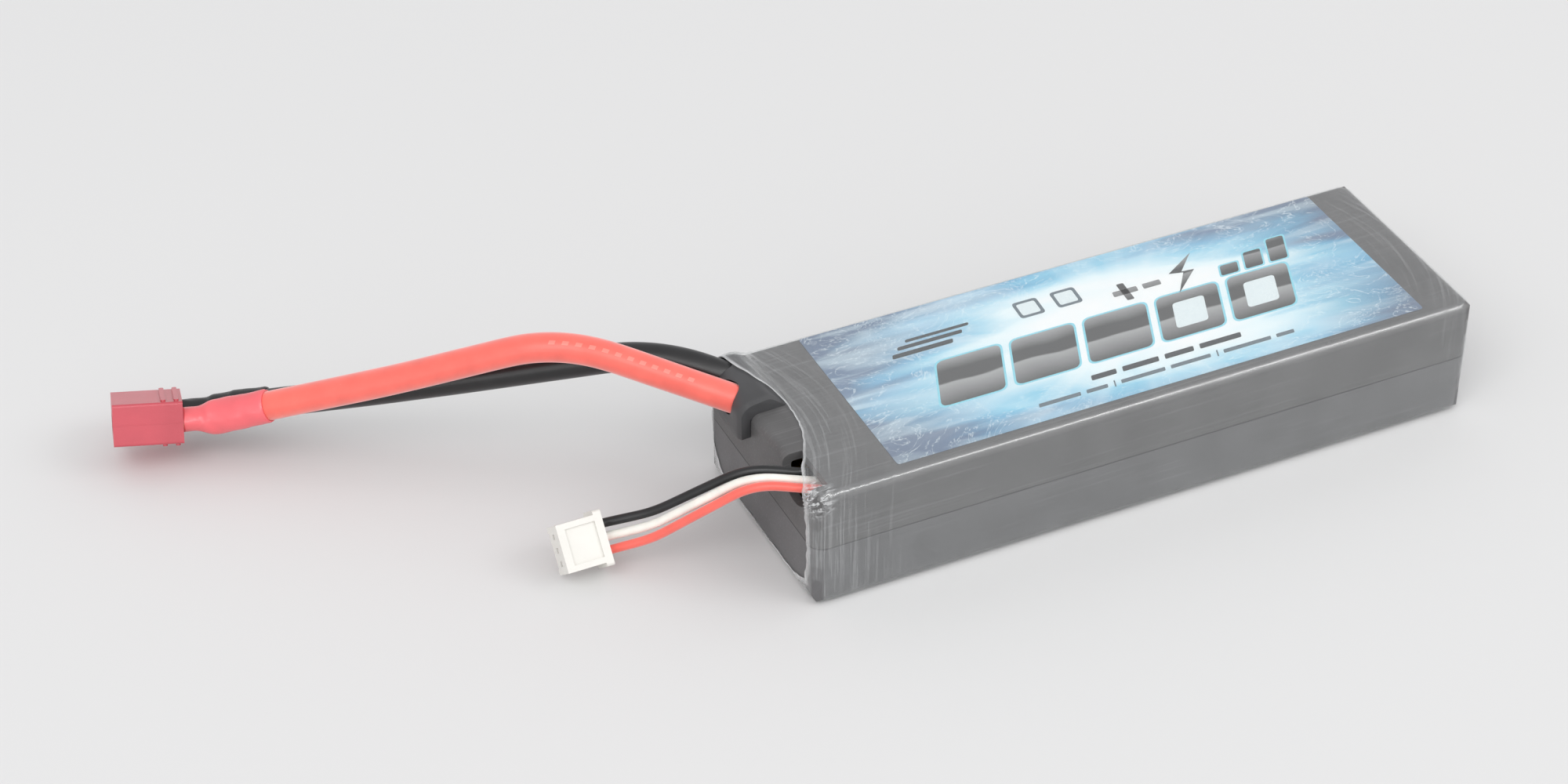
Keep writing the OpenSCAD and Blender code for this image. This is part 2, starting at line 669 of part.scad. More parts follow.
// solder tabs from x, grown all round by gap
module tab_a(x, length, gap = 0) {
  translate([x, lane_y[red]-plug_tab_w/2-gap, contact_a_z-gap])
    cube([length, plug_tab_w+2*gap, contact_t+2*gap]);
}
module tab_b(x, length, gap = 0) {
  translate([x, contact_b_y-gap, -plug_tab_w/2-gap])
    cube([length, contact_t+2*gap, plug_tab_w+2*gap]);
}
// rib with round ends across the top (side +1) or bottom (-1)
module rib(x, side) {
  length = plug_w-2.2;
  translate([x, 0, side*(plug_h/2-0.1)]) {
    cube([0.9, length, 1.0], center = true);
    for (s = [-1, 1]) translate([0, s*length/2, -0.5]) cylinder(h = 1.0, r = 0.45);
  }
}
module plug_housing() color([0.62, 0.13, 0.17]) in_plug() difference() {
  union() {
    yz(-plug_end, plug_l) rrect(plug_w/2, plug_h/2, 0.5);
    for (x = [plug_end-1.1, plug_end-3.5], side = [-1, 1]) rib(x, side);
    // fine ridge round the sides at mid height
    translate([-plug_end, -plug_w/2-0.04, -0.06]) cube([plug_l, plug_w+0.08, 0.12]);
  }
  // cavity A lies flat, cavity B stands upright, as the two bars of a T
  translate([-plug_end-1, -5.6, -1.5]) cube([plug_l-0.5, 6.4, 3.0]);
  translate([-plug_end-1, 2.1, -3.1]) cube([plug_l-0.5, 3.0, 6.2]);
  // rear windows for the solder tabs
  tab_a(plug_end-3, 6, gap = 0.1);
  tab_b(plug_end-3, 6, gap = 0.1);
}
module plug_contact_a() color(brass) in_plug() {
  translate([contact_x, -5.4, contact_a_z]) cube([contact_l, 6.0, contact_t]);
  tab_a(plug_end-2, 2+plug_tab_l);
}
module plug_contact_b() color(brass) in_plug() {
  translate([contact_x, contact_b_y, -2.9]) cube([contact_l, contact_t, 5.8]);
  tab_b(plug_end-2, 2+plug_tab_l);
}
// leaf spring along X, bowed towards +Z
module leaf() rotate([90, 0, 0]) translate([0, 0, -leaf_w/2]) linear_extrude(leaf_w)
  intersection() {
    translate([0, 0.45-leaf_r]) difference() {
      circle(r = leaf_r+leaf_t, $fn = 200);
      circle(r = leaf_r, $fn = 200);
    }
    translate([-leaf_half, -3]) square([2*leaf_half, 6]);
  }
// each crown faces its contact
module contact_spring_a() color(spring_brass) in_plug()
  translate([leaf_x, -2.4, 1.05]) rotate([180, 0, 0]) leaf();
module contact_spring_b() color(spring_brass) in_plug()
  translate([leaf_x, 4.65, 0]) rotate([90, 0, 0]) leaf();
// solder round each contact tab, closed beyond the tab's end to meet the strands
module plug_solder_joints() color(solder) in_plug() difference() {
  for (y = lane_y) translate([0, y, 0])
    round_bar([plug_end+1, plug_end+plug_tab_l+0.85], 1.9);
  tab_a(plug_end, plug_tab_l+0.06, gap = 0.05);
  tab_b(plug_end, plug_tab_l+0.06, gap = 0.05);
}

// ======== balance lead
module bal_mid(i, outer, inner) {
  aimed(bal_start[i], bal_route[i][YAW], 0)
    lead_walk(bal_steps(bal_route[i]), "mid", outer, inner);
}
module balance_black_mid() color(bal_black) bal_mid(0, bal_r, bal_bore);
module balance_white_mid() color(bal_white) bal_mid(1, bal_r, bal_bore);
module balance_red_mid() color(bal_red) bal_mid(2, bal_r, bal_bore);
module balance_cores_mid() color(copper) for (i = [0:2]) bal_mid(i, bal_core_r, 0);
// from the last hinge round a knee into the housing
module bal_tail(i, outer, inner, beyond = 3.6) {
  path = bal_route[i];
  back = bal_tail_run/cos(path[SLOPE2]) - bal_tail_gap/2;
  knee_lead(bal_end[i] - back*aim(path[YAW], path[SLOPE2]), bal_end[i],
    dir = [-1, 0, 0], beyond = beyond, radius = 2.6, outer = outer, inner = inner);
}
module balance_black_tail() color(bal_black) bal_tail(0, bal_r, bal_bore);
module balance_white_tail() color(bal_white) bal_tail(1, bal_r, bal_bore);
module balance_red_tail() color(bal_red) bal_tail(2, bal_r, bal_bore);
module balance_cores_tail() color(copper)
  for (i = [0:2]) bal_tail(i, bal_core_r, 0, beyond = 4.6);

// ---- balance plug: +X towards the wires, Y across the contacts
bplug_l = 8.8;
bplug_t = 5.75;
flange_l = 1.5;
rail_w = 1.1;

module in_bplug() {
  translate(bplug_pos) rotate([bplug_tilt, 0, 0]) children();
}
module each_contact() {
  for (i = [-1:1]) translate([0, i*bal_pitch, 0]) children();
}
module balance_terminals() color([0.86, 0.84, 0.78]) in_bplug() each_contact() difference() {
  union() {
    square_bar([-7.4, -3.0], 0.8);
    round_bar([-3.4, -0.4], 1.02);
  }
  square_bar([-8, -4], 0.4);
  round_bar([-4.0, -2.38], bal_core_r+0.03);
  round_bar([-2.5, 1.5], bal_r+0.03);
}
module balance_housing() color([0.95, 0.94, 0.90]) in_bplug() difference() {
  union() {
    yz(-bplug_l, bplug_l) rrect(bplug_w/2, bplug_t/2-0.35, 0.5);
    // rear flange
    yz(-flange_l, flange_l) rrect(bplug_w/2+0.75, bplug_t/2+0.1, 0.5);
    // side rails
    for (s = [-1, 1])
      translate([-bplug_l, s*(bplug_w/2-rail_w/2)-rail_w/2, -bplug_t/2-0.1])
        cube([bplug_l-0.2, rail_w, bplug_t+0.2]);
    // bar across the front, on the +Z side
    translate([-bplug_l, -bplug_w/2+0.2, 0]) cube([1.5, bplug_w-0.4, bplug_t/2+0.1]);
  }
  each_contact() {
    square_bar([-7.8, -2.9], 0.9);
    round_bar([-3.4, 1.6], 1.12);
    square_bar([-bplug_l-1, -bplug_l+2], 0.5);
  }
}

case_base();
case_lid();
exit_cover();
exit_sealant();
film_sleeve();
top_label();
cell_lower();
cell_upper();
cell_positive_tabs();
cell_negative_tabs();
cell_adhesive_pad();
bottom_foam_pad();
top_foam_pad();
end_foam_block();
tab_insulator();
tab_board();
positive_busbar();
negative_busbar();
series_busbar();
balance_pads();
insulating_tape();
power_solder_joints();
balance_solder_joints();
red_wire_root();
black_wire_root();
power_cores_root();
balance_black_root();
balance_white_root();
balance_red_root();
balance_cores_root();
red_wire_mid();
black_wire_mid();
power_cores_mid();
red_wire_end();
black_wire_end();
power_cores_end();
red_wire_tail();
black_wire_tail();
power_cores_tail();
red_heat_shrink();
black_heat_shrink();
plug_housing();
plug_contact_a();
plug_contact_b();
plug_solder_joints();
contact_spring_a();
contact_spring_b();
balance_black_mid();
balance_white_mid();
balance_red_mid();
balance_cores_mid();
balance_black_tail();
balance_white_tail();
balance_red_tail();
balance_cores_tail();
balance_terminals();
balance_housing();
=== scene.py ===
"""A hard-case battery pack in a clear shrink film, with two power leads and three balance leads.

The pack lies flat on z = 0, its length along X and its width along Y. All the leads leave at
the -X end, called the wire end here. The power leads run out to a plug at -X, +Y; the thin
balance leads turn down to a small plug near the case. Sizes are in millimetres unless a
comment says otherwise, and meshes are scaled to metres as they are made.
"""

import math

import bmesh
import bpy
import numpy as np
from mathutils import Matrix, Vector


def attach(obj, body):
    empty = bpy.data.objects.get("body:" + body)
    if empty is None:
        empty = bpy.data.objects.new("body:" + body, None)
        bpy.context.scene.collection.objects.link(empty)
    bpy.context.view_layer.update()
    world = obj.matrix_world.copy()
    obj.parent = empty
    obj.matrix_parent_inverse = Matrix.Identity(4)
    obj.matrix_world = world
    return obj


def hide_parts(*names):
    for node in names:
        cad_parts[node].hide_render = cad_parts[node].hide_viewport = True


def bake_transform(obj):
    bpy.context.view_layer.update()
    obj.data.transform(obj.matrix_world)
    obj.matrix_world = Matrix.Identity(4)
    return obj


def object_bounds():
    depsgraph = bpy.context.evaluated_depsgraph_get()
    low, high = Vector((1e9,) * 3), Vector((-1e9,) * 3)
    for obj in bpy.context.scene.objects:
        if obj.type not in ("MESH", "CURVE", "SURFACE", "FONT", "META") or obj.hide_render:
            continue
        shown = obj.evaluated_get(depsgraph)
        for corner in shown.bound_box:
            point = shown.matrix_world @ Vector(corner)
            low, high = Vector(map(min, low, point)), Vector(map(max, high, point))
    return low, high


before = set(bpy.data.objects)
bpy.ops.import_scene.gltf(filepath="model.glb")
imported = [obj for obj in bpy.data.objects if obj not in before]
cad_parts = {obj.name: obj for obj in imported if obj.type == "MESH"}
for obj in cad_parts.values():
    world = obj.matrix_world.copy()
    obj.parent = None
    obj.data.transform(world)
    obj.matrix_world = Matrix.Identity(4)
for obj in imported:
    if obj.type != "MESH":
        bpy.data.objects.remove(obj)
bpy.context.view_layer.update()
MM = 0.001
SEAM_Z = 13.0  # height of the joint between the two case halves
HALF_LENGTH, HALF_WIDTH, HALF_HEIGHT = 69.0, 23.0, 12.5
BLACK, WHITE = (0, 0, 0), (1, 1, 1)


# ------------------------------------------------------------------ mesh helpers
def link_object(name, mesh):
    ob = bpy.data.objects.new(name, mesh)
    bpy.context.scene.collection.objects.link(ob)
    return ob


def smooth_shade(mesh):
    mesh.polygons.foreach_set("use_smooth", [True] * len(mesh.polygons))


def new_mesh(name, verts, faces, smooth=True):
    mesh = bpy.data.meshes.new(name)
    mesh.from_pydata((np.asarray(verts, float) * MM).tolist(), [], faces)
    mesh.validate()
    mesh.update()
    if smooth:
        smooth_shade(mesh)
    return link_object(name, mesh)


def ring_faces(rows, around):
    """Quads between successive closed rings of points."""
    faces = []
    for i in range(rows - 1):
        for j in range(around):
            a = i * around + j
            b = i * around + (j + 1) % around
            faces.append((a, b, b + around, a + around))
    return faces


def start_cap(around):
    return tuple(range(around))[::-1]


def end_cap(rows, around):
    return tuple((rows - 1) * around + j for j in range(around))


def fix_normals(ob):
    bm = bmesh.new()
    bm.from_mesh(ob.data)
    bmesh.ops.remove_doubles(bm, verts=bm.verts, dist=1e-7)
    bmesh.ops.recalc_face_normals(bm, faces=bm.faces)
    bm.to_mesh(ob.data)
    bm.free()
    ob.data.update()


def apply_mods(ob):
    bpy.context.view_layer.update()
    graph = bpy.context.evaluated_depsgraph_get()
    mesh = bpy.data.meshes.new_from_object(ob.evaluated_get(graph))
    ob.modifiers.clear()
    old = ob.data
    ob.data = mesh
    bpy.data.meshes.remove(old)


def smoothstep(a, b, x):
    """Eases from 0 at a to 1 at b; a may be the larger."""
    t = np.clip((x - a) / (b - a), 0, 1)
    return t * t * (3 - 2 * t)


# ------------------------------------------------------------------ shader helper
class Shader:
    """Writes the node tree of a material or a world."""

    def __init__(self, owner, output="ShaderNodeOutputMaterial"):
        self.owner = owner
        owner.use_nodes = True
        self.tree = owner.node_tree
        self.tree.nodes.clear()
        self.output = self.tree.nodes.new(output)
        self.position = None

    def node(self, kind, inputs=None, **settings):
        """Adds a node; an input is given a plain value or linked to another node's output."""
        node = self.tree.nodes.new(kind)
        for key, setting in settings.items():
            setattr(node, key, setting)
        for key, value in (inputs or {}).items():
            socket = node.inputs[key]
            if not isinstance(value, (int, float, tuple, list)):
                self.tree.links.new(value, socket)
            elif socket.type == "RGBA" and len(value) == 3:
                socket.default_value = (*value, 1.0)
            else:
                socket.default_value = value
        return node

    def coords(self):
        """Object position in millimetres."""
        if self.position is None:
            source = self.node("ShaderNodeTexCoord").outputs["Object"]
            self.position = self.node("ShaderNodeVectorMath", {0: source, "Scale": 1000.0},
                                      operation="SCALE").outputs[0]
        return self.position

    def split(self, vector):
        return self.node("ShaderNodeSeparateXYZ", {0: vector}).outputs

    def combine(self, x, y, z=0.0):
        return self.node("ShaderNodeCombineXYZ", {0: x, 1: y, 2: z}).outputs[0]

    def math(self, operation, a, b=0.0, c=0.0, clamp=False):
        return self.node("ShaderNodeMath", {0: a, 1: b, 2: c},
                         operation=operation, use_clamp=clamp).outputs[0]

    def add(self, a, b, clamp=False):
        return self.math("ADD", a, b, clamp=clamp)

    def sub(self, a, b, clamp=False):
        return self.math("SUBTRACT", a, b, clamp=clamp)

    def mul(self, a, b, clamp=False):
        return self.math("MULTIPLY", a, b, clamp=clamp)

    def div(self, a, b, clamp=False):
        return self.math("DIVIDE", a, b, clamp=clamp)

    def vary(self, pattern, base, span):
        """base plus span times a pattern"""
        return self.add(base, self.mul(pattern, span))

    def noise(self, scale=1.0, detail=2.0, rough=0.5, vec=None, warp=0.0):
        inputs = {"Scale": scale, "Detail": detail, "Roughness": rough, "Distortion": warp,
                  "Vector": vec if vec is not None else self.coords()}
        return self.node("ShaderNodeTexNoise", inputs).outputs["Fac"]

    def scaled(self, scale, offset=(0, 0, 0)):
        inputs = {"Scale": scale, "Location": offset, "Vector": self.coords()}
        return self.node("ShaderNodeMapping", inputs).outputs[0]

    def ramp(self, fac, stops):
        node = self.node("ShaderNodeValToRGB", {0: fac})
        elements = node.color_ramp.elements
        while len(elements) < len(stops):
            elements.new(0.5)
        for element, (place, color) in zip(elements, stops):
            element.position = place
            element.color = (*color, 1.0)
        return node.outputs[0]

    def mask(self, fac, low, high):
        """Black below low, white above high."""
        return self.ramp(fac, [(low, BLACK), (high, WHITE)])

    def toned(self, fac, color, tone):
        """A colour that drifts darker and lighter by the fraction tone."""
        return self.ramp(fac, [(0.3, tuple(c * (1 - tone) for c in color)),
                               (0.7, tuple(min(1, c * (1 + tone)) for c in color))])

    def mix(self, fac, a, b):
        # inputs 6 and 7 are the two colours
        return self.node("ShaderNodeMix", {0: fac, 6: a, 7: b},
                         data_type="RGBA", clamp_factor=True).outputs[2]

    def mix_shaders(self, fac, a, b):
        return self.node("ShaderNodeMixShader", {0: fac, 1: a, 2: b}).outputs[0]

    def bump(self, height, strength, distance):
        """distance is in metres"""
        inputs = {"Strength": strength, "Distance": distance, "Height": height}
        return self.node("ShaderNodeBump", inputs).outputs[0]

    def principled(self, color, rough, normal=None, **extra):
        inputs = {"Base Color": color, "Roughness": rough}
        inputs.update((key.replace("_", " "), value) for key, value in extra.items())
        if normal is not None:
            inputs["Normal"] = normal
        return self.node("ShaderNodeBsdfPrincipled", inputs).outputs[0]

    def done(self, surface):
        self.tree.links.new(surface, self.output.inputs["Surface"])


MATERIALS = {}


def new_material(name):
    MATERIALS[name] = bpy.data.materials.new(name)
    return Shader(MATERIALS[name])


def set_mat(ob, name):
    ob.data.materials.clear()
    ob.data.materials.append(MATERIALS[name])


# ------------------------------------------------------------------ material kinds
def moulded(name, color, rough, grain, grain_scale, tone=0.12, streak=False, coat=0.0):
    """Moulded plastic with a fine surface grain; the case halves also have faint streaks."""
    s = new_material(name)
    fine = s.noise(scale=grain_scale, detail=3.0, rough=0.6)
    col = s.toned(s.noise(scale=0.12, detail=3.0), color, tone)
    if streak:
        lines = s.noise(vec=s.scaled((0.03, 2.2, 2.2)))
        col = s.mix(s.mul(s.mask(lines, 0.55, 0.75), 0.08), col, (0.6, 0.6, 0.62))
        # shadowed joint line between the case halves
        height = s.split(s.coords())[2]
        line = s.math("LESS_THAN", s.math("ABSOLUTE", s.sub(height, SEAM_Z)), 0.14)
        col = s.mix(s.mul(line, 0.8), col, (0.02, 0.02, 0.021))
    normal = s.bump(fine, strength=grain, distance=0.00006)
    s.done(s.principled(col, s.vary(fine, base=rough - 0.06, span=0.12), normal,
                        Coat_Weight=coat, Coat_Roughness=0.2))


def metal(name, color, rough, brushed=(1, 8, 8)):
    """Metal with brush lines; brushed is the noise scale along each axis."""
    s = new_material(name)
    lines = s.noise(scale=1.5, detail=3.0, vec=s.scaled(brushed))
    col = s.mix(s.mul(lines, 0.5), color, tuple(c * 0.75 for c in color))
    s.done(s.principled(col, s.vary(lines, base=rough - 0.08, span=0.2),
                        s.bump(lines, strength=0.15, distance=0.00005), Metallic=1.0))


# Slanted dashes printed on the thick red wire
DASH_START = 16.0
DASH_PITCH = 2.3
DASH_COUNT = 12
DASH_LENGTH = 1.1
DASH_PHASE = 0.12  # fraction of a pitch left bare before each dash
DASH_TURN = 0.86  # place around the wire, 0 to 1
DASH_HALF_WIDTH = 0.022  # in turns
DASH_SLANT = 1.6


def dash_mask(s, along, turn):
    rel = s.sub(along, DASH_START)
    cycle = s.math("FRACT", s.div(rel, DASH_PITCH))
    in_row = s.mul(s.math("GREATER_THAN", rel, 0.0),
                   s.math("LESS_THAN", rel, DASH_PITCH * DASH_COUNT))
    slanted_cycle = s.add(cycle, s.mul(s.sub(turn, DASH_TURN), DASH_SLANT))
    in_dash = s.mul(s.math("GREATER_THAN", slanted_cycle, DASH_PHASE),
                    s.math("LESS_THAN", slanted_cycle, DASH_PHASE + DASH_LENGTH / DASH_PITCH))
    in_width = s.math("LESS_THAN", s.math("ABSOLUTE", s.sub(turn, DASH_TURN)), DASH_HALF_WIDTH)
    opacity = 0.8
    return s.mul(s.mul(s.mul(in_dash, in_width), in_row), opacity)


def silicone(name, color, rough, sheen, tone=0.08, dashed=False):
    """Soft wire insulation: satin, with lengthwise flow lines and dust specks."""
    s = new_material(name)
    fine = s.noise(scale=9.0, detail=4.0, rough=0.6)
    col = s.toned(s.noise(scale=0.25, detail=3.0), color, tone)
    # UV: millimetres along the wire, turns around it
    along, turn, _ = s.split(s.node("ShaderNodeUVMap", uv_map="UVMap").outputs[0])
    flow = s.noise(vec=s.combine(s.mul(along, 0.05), s.mul(turn, 26.0)))
    speck = s.mask(s.noise(scale=2.6, detail=5.0, rough=0.7), 0.69, 0.74)
    col = s.mix(s.mul(speck, 0.25), col, (0.85, 0.82, 0.8))
    if dashed:
        col = s.mix(dash_mask(s, along, turn), col, (0.93, 0.27, 0.22))
    height = s.add(s.mul(flow, 0.7), s.mul(fine, 0.3))
    # light soaks only into the brighter colours
    s.done(s.principled(col, s.vary(fine, base=rough - 0.05, span=0.12),
                        s.bump(height, strength=0.18, distance=0.00008),
                        Subsurface_Weight=0.12 if sum(color) > 0.6 else 0.0,
                        Subsurface_Radius=(0.002, 0.0008, 0.0006),
                        Sheen_Weight=sheen, Sheen_Roughness=0.5))


# name, colour, roughness, grain strength, grain scale, further settings
PLASTICS = [
    ("base_plastic_grey", (0.128, 0.127, 0.131), 0.50, 0.03, 3.0, {"streak": True}),
    ("lid_plastic_grey", (0.110, 0.108, 0.109), 0.50, 0.03, 3.0, {"streak": True}),
    ("cover_plastic_dark", (0.055, 0.055, 0.058), 0.42, 0.3, 6.0, {}),
    ("sealant_black", (0.012, 0.012, 0.012), 0.35, 0.8, 1.2, {}),
    ("foam_dark", (0.03, 0.03, 0.03), 0.9, 1.0, 3.0, {}),
    ("adhesive_pad", (0.75, 0.75, 0.70), 0.6, 0.4, 2.0, {}),
    ("board_green", (0.03, 0.16, 0.08), 0.4, 0.5, 2.5, {}),
    ("insulator_sheet", (0.16, 0.36, 0.28), 0.5, 0.5, 2.5, {}),
    ("tape_amber", (0.62, 0.34, 0.05), 0.25, 0.2, 2.0, {}),
    ("plug_nylon_red", (0.56, 0.070, 0.095), 0.36, 0.35, 5.0, {"tone": 0.06, "coat": 0.35}),
    ("plug_nylon_white", (0.78, 0.765, 0.72), 0.38, 0.25, 5.0, {"tone": 0.03}),
    ("shrink_red", (0.90, 0.145, 0.165), 0.33, 0.35, 1.6, {"tone": 0.07, "coat": 0.2}),
    ("shrink_black", (0.010, 0.010, 0.011), 0.33, 0.5, 1.6, {"tone": 0.2}),
]
for *settings, further in PLASTICS:
    moulded(*settings, **further)

metal("pouch_foil", (0.75, 0.76, 0.78), rough=0.35, brushed=(2, 2, 2))
metal("tab_aluminium", (0.85, 0.86, 0.88), rough=0.28)
metal("tab_nickel", (0.74, 0.70, 0.62), rough=0.3)
metal("copper", (0.83, 0.45, 0.25), rough=0.3, brushed=(1, 12, 12))
metal("gold_plate", (0.90, 0.68, 0.30), rough=0.22)
metal("solder", (0.72, 0.72, 0.74), rough=0.25, brushed=(3, 3, 3))

silicone("silicone_red", (0.95, 0.145, 0.108), rough=0.34, sheen=0.6, dashed=True)
silicone("silicone_red_thin", (0.93, 0.135, 0.100), rough=0.36, sheen=0.5)
silicone("silicone_black", (0.008, 0.008, 0.009), rough=0.34, sheen=0.08, tone=0.3)
silicone("silicone_white", (0.88, 0.86, 0.80), rough=0.40, sheen=0.1)

# ------------------------------------------------------------------ materials of the CAD pieces
# material: the pieces made of it
PIECES = {
    "base_plastic_grey": ["case_base"],
    "lid_plastic_grey": ["case_lid"],
    "cover_plastic_dark": ["exit_cover"],
    "sealant_black": ["exit_sealant"],
    "pouch_foil": ["cell_lower", "cell_upper"],
    "tab_aluminium": ["cell_positive_tabs"],
    "tab_nickel": ["cell_negative_tabs", "balance_terminals"],
    "adhesive_pad": ["cell_adhesive_pad"],
    "foam_dark": ["bottom_foam_pad", "top_foam_pad", "end_foam_block"],
    "insulator_sheet": ["tab_insulator"],
    "board_green": ["tab_board"],
    "copper": ["positive_busbar", "negative_busbar", "series_busbar"],
    "gold_plate": ["balance_pads", "plug_contact_a", "plug_contact_b", "contact_spring_a",
                   "contact_spring_b"],
    "tape_amber": ["insulating_tape"],
    "solder": ["power_solder_joints", "balance_solder_joints", "plug_solder_joints"],
    "plug_nylon_red": ["plug_housing"],
    "plug_nylon_white": ["balance_housing"],
}
MATERIAL_OF = {piece: name for name, pieces in PIECES.items() for piece in pieces}
# start of a piece's name, material
WIRE_MATERIALS = [
    ("red_wire", "silicone_red"),
    ("balance_red", "silicone_red_thin"),
    ("black_wire", "silicone_black"),
    ("balance_black", "silicone_black"),
    ("balance_white", "silicone_white"),
]


def material_for(piece):
    if piece in MATERIAL_OF:
        return MATERIAL_OF[piece]
    if "cores" in piece:
        return "copper"
    for prefix, name in WIRE_MATERIALS:
        if piece.startswith(prefix):
            return name
    return "lid_plastic_grey"


for piece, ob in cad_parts.items():
    material = MATERIALS[material_for(piece)]
    if not ob.material_slots:
        ob.data.materials.append(material)
    else:
        for slot in ob.material_slots:
            slot.material = material


# ------------------------------------------------------------------ routes of the leads
def sin_deg(angle):
    return math.sin(math.radians(angle))


def cos_deg(angle):
    return math.cos(math.radians(angle))


def bend_run(length, heading, bend):
    """Level distance covered by an arc that starts at a heading and turns by bend degrees."""
    return (length * 180 / (bend * math.pi)) * (sin_deg(heading + bend) - sin_deg(heading))


def bend_rise(length, heading, bend):
    return -(length * 180 / (bend * math.pi)) * (cos_deg(heading + bend) - cos_deg(heading))


def lead_path(start, end, heading, straight, length_1, bend_1, length_2, bend_2, step):
    """Points along straight, bend, straight, bend, straight, in one upright plane.

    The last two straights are solved so that the path meets its end.
    """
    start = np.array(start, float)
    span = np.array(end, float) - start
    reach = np.hypot(span[0], span[1])
    mid = heading + bend_1
    last = mid + bend_2
    run = (reach - straight * cos_deg(heading) - bend_run(length_1, heading, bend_1)
           - bend_run(length_2, mid, bend_2))
    rise = (span[2] - straight * sin_deg(heading) - bend_rise(length_1, heading, bend_1)
            - bend_rise(length_2, mid, bend_2))
    straight_2 = (run * sin_deg(last) - rise * cos_deg(last)) / sin_deg(last - mid)
    straight_3 = (rise * cos_deg(mid) - run * sin_deg(mid)) / sin_deg(last - mid)
    legs = [(straight, 0), (length_1, bend_1), (straight_2, 0), (length_2, bend_2),
            (straight_3, 0)]

    level = np.array([span[0] / reach, span[1] / reach, 0])
    up = np.array([0, 0, 1.0])
    points = [start]
    for length, bend in legs:
        origin = points[-1]
        count = max(2, int(length / step))
        for i in range(1, count + 1):
            f = i / count
            if bend == 0:
                move = length * f * (cos_deg(heading) * level + sin_deg(heading) * up)
            else:
                move = (bend_run(length * f, heading, bend * f) * level
                        + bend_rise(length * f, heading, bend * f) * up)
            points.append(origin + move)
        heading += bend
    return np.array(points)


def arclen(points):
    steps = np.linalg.norm(np.diff(points, axis=0), axis=1)
    return np.concatenate([[0], np.cumsum(steps)])


def resample(points, step):
    gaps = np.linalg.norm(np.diff(points, axis=0), axis=1)
    points = points[np.concatenate([[True], gaps > 1e-6])]
    s = arclen(points)
    t = np.linspace(0, s[-1], int(round(s[-1] / step)) + 1)
    return np.stack([np.interp(t, s, points[:, i]) for i in range(3)], 1)


def smooth_line(points, sigma, step):
    """Gaussian smoothing that holds both ends."""
    k = int(3 * sigma / step)
    x = np.arange(-k, k + 1) * step
    weights = np.exp(-x * x / (2 * sigma * sigma))
    weights /= weights.sum()
    padded = np.concatenate([2 * points[0] - points[k:0:-1], points,
                             2 * points[-1] - points[-2:-k - 2:-1]])
    return np.stack([np.convolve(padded[:, i], weights, "valid") for i in range(3)], 1)


def finish_line(inner, path, outer, sigma, step):
    """Adds the hidden end points to a path, then evens and smooths it."""
    points = resample(np.concatenate([[inner], path, [outer]]), step)
    return resample(smooth_line(points, sigma, step), step)


def rot(axis, angle):
    c, s = cos_deg(angle), sin_deg(angle)
    if axis == "x":
        return np.array([[1, 0, 0], [0, c, -s], [0, s, c]])
    if axis == "y":
        return np.array([[c, 0, s], [0, 1, 0], [-s, 0, c]])
    return np.array([[c, -s, 0], [s, c, 0], [0, 0, 1.0]])


PLUG_POS = np.array([-162.4, 70.5, 9.0])
PLUG_ROT = rot("z", -14.3) @ rot("y", 4.2) @ rot("x", -25.4)
PLUG_LENGTH, TAB_LENGTH, CONTACT_Y = 12.9, 4.5, 3.6
POWER_STEP, POWER_SIGMA = 0.4, 1.7  # point spacing and smoothing length


def plug_point(x, y, z):
    return PLUG_POS + PLUG_ROT @ np.array([x, y, z], float)


def power_end(contact_y):
    """Where a power lead meets its tab on the plug."""
    return plug_point(PLUG_LENGTH / 2 + TAB_LENGTH + 0.6, contact_y, 0)


def power_line(start, contact_y, **route):
    path = lead_path(start, power_end(contact_y), step=0.25, **route)
    return finish_line((-62.3, start[1], 20.7), path,
                       plug_point(PLUG_LENGTH / 2 + 0.05, contact_y, 0),
                       POWER_SIGMA, POWER_STEP)


RED_START, BLACK_START = (-67.46, 8.95, 24.1), (-66.9, 15.9, 24.5)
red_line = power_line(RED_START, -CONTACT_Y, heading=17.8, straight=25,
                      length_1=20, bend_1=-39.5, length_2=14, bend_2=2.2)
black_line = power_line(BLACK_START, CONTACT_Y, heading=21.7, straight=3,
                        length_1=21.2, bend_1=-37.2, length_2=24, bend_2=1.5)

BALANCE_PLUG_POS = np.array([-97.9, 4.7, 6.4])
BALANCE_PLUG_ROT = rot("x", 49.7)
BALANCE_PITCH = 2.5
BALANCE_STEP, BALANCE_SIGMA = 0.25, 0.9
# colour, material, start y, start z, y inside the case, y at hinge 1, (y, z) at hinge 2
BALANCE_LEADS = [
    ("black", "silicone_black", -12.0, 23.0, -12.0, -10.5, (5.0, 9.23)),
    ("white", "silicone_white", -14.1, 22.6, -14.4, -12.5, (3.36, 7.42)),
    ("red", "silicone_red_thin", -16.2, 22.3, -16.8, -14.6, (1.72, 5.61)),
]


def balance_line(i, start_y, start_z, inner_y):
    way = BALANCE_PLUG_POS + BALANCE_PLUG_ROT @ np.array([0, (1 - i) * BALANCE_PITCH, 0])
    path = lead_path((-67, start_y, start_z), way + [1.2, 0, 0], heading=0, straight=4.8,
                     length_1=8.6 + 0.2 * i, bend_1=-34.2 - 1.9 * i,
                     length_2=6, bend_2=14, step=0.15)
    return finish_line((-61.9, inner_y, 20.7), path, way + [-2.3, 0, 0],
                       BALANCE_SIGMA, BALANCE_STEP)


# ------------------------------------------------------------------ tubes
def line_frames(points):
    """Tangents and two side vectors carried along a line without twist."""
    t = np.gradient(points, axis=0)
    t /= np.linalg.norm(t, axis=1)[:, None]
    side = np.array([0, 0, 1.0])
    sides = []
    for tangent in t:
        side = side - tangent * (tangent @ side)
        side = side / np.linalg.norm(side)
        sides.append(side)
    sides = np.array(sides)
    return t, sides, np.cross(t, sides)


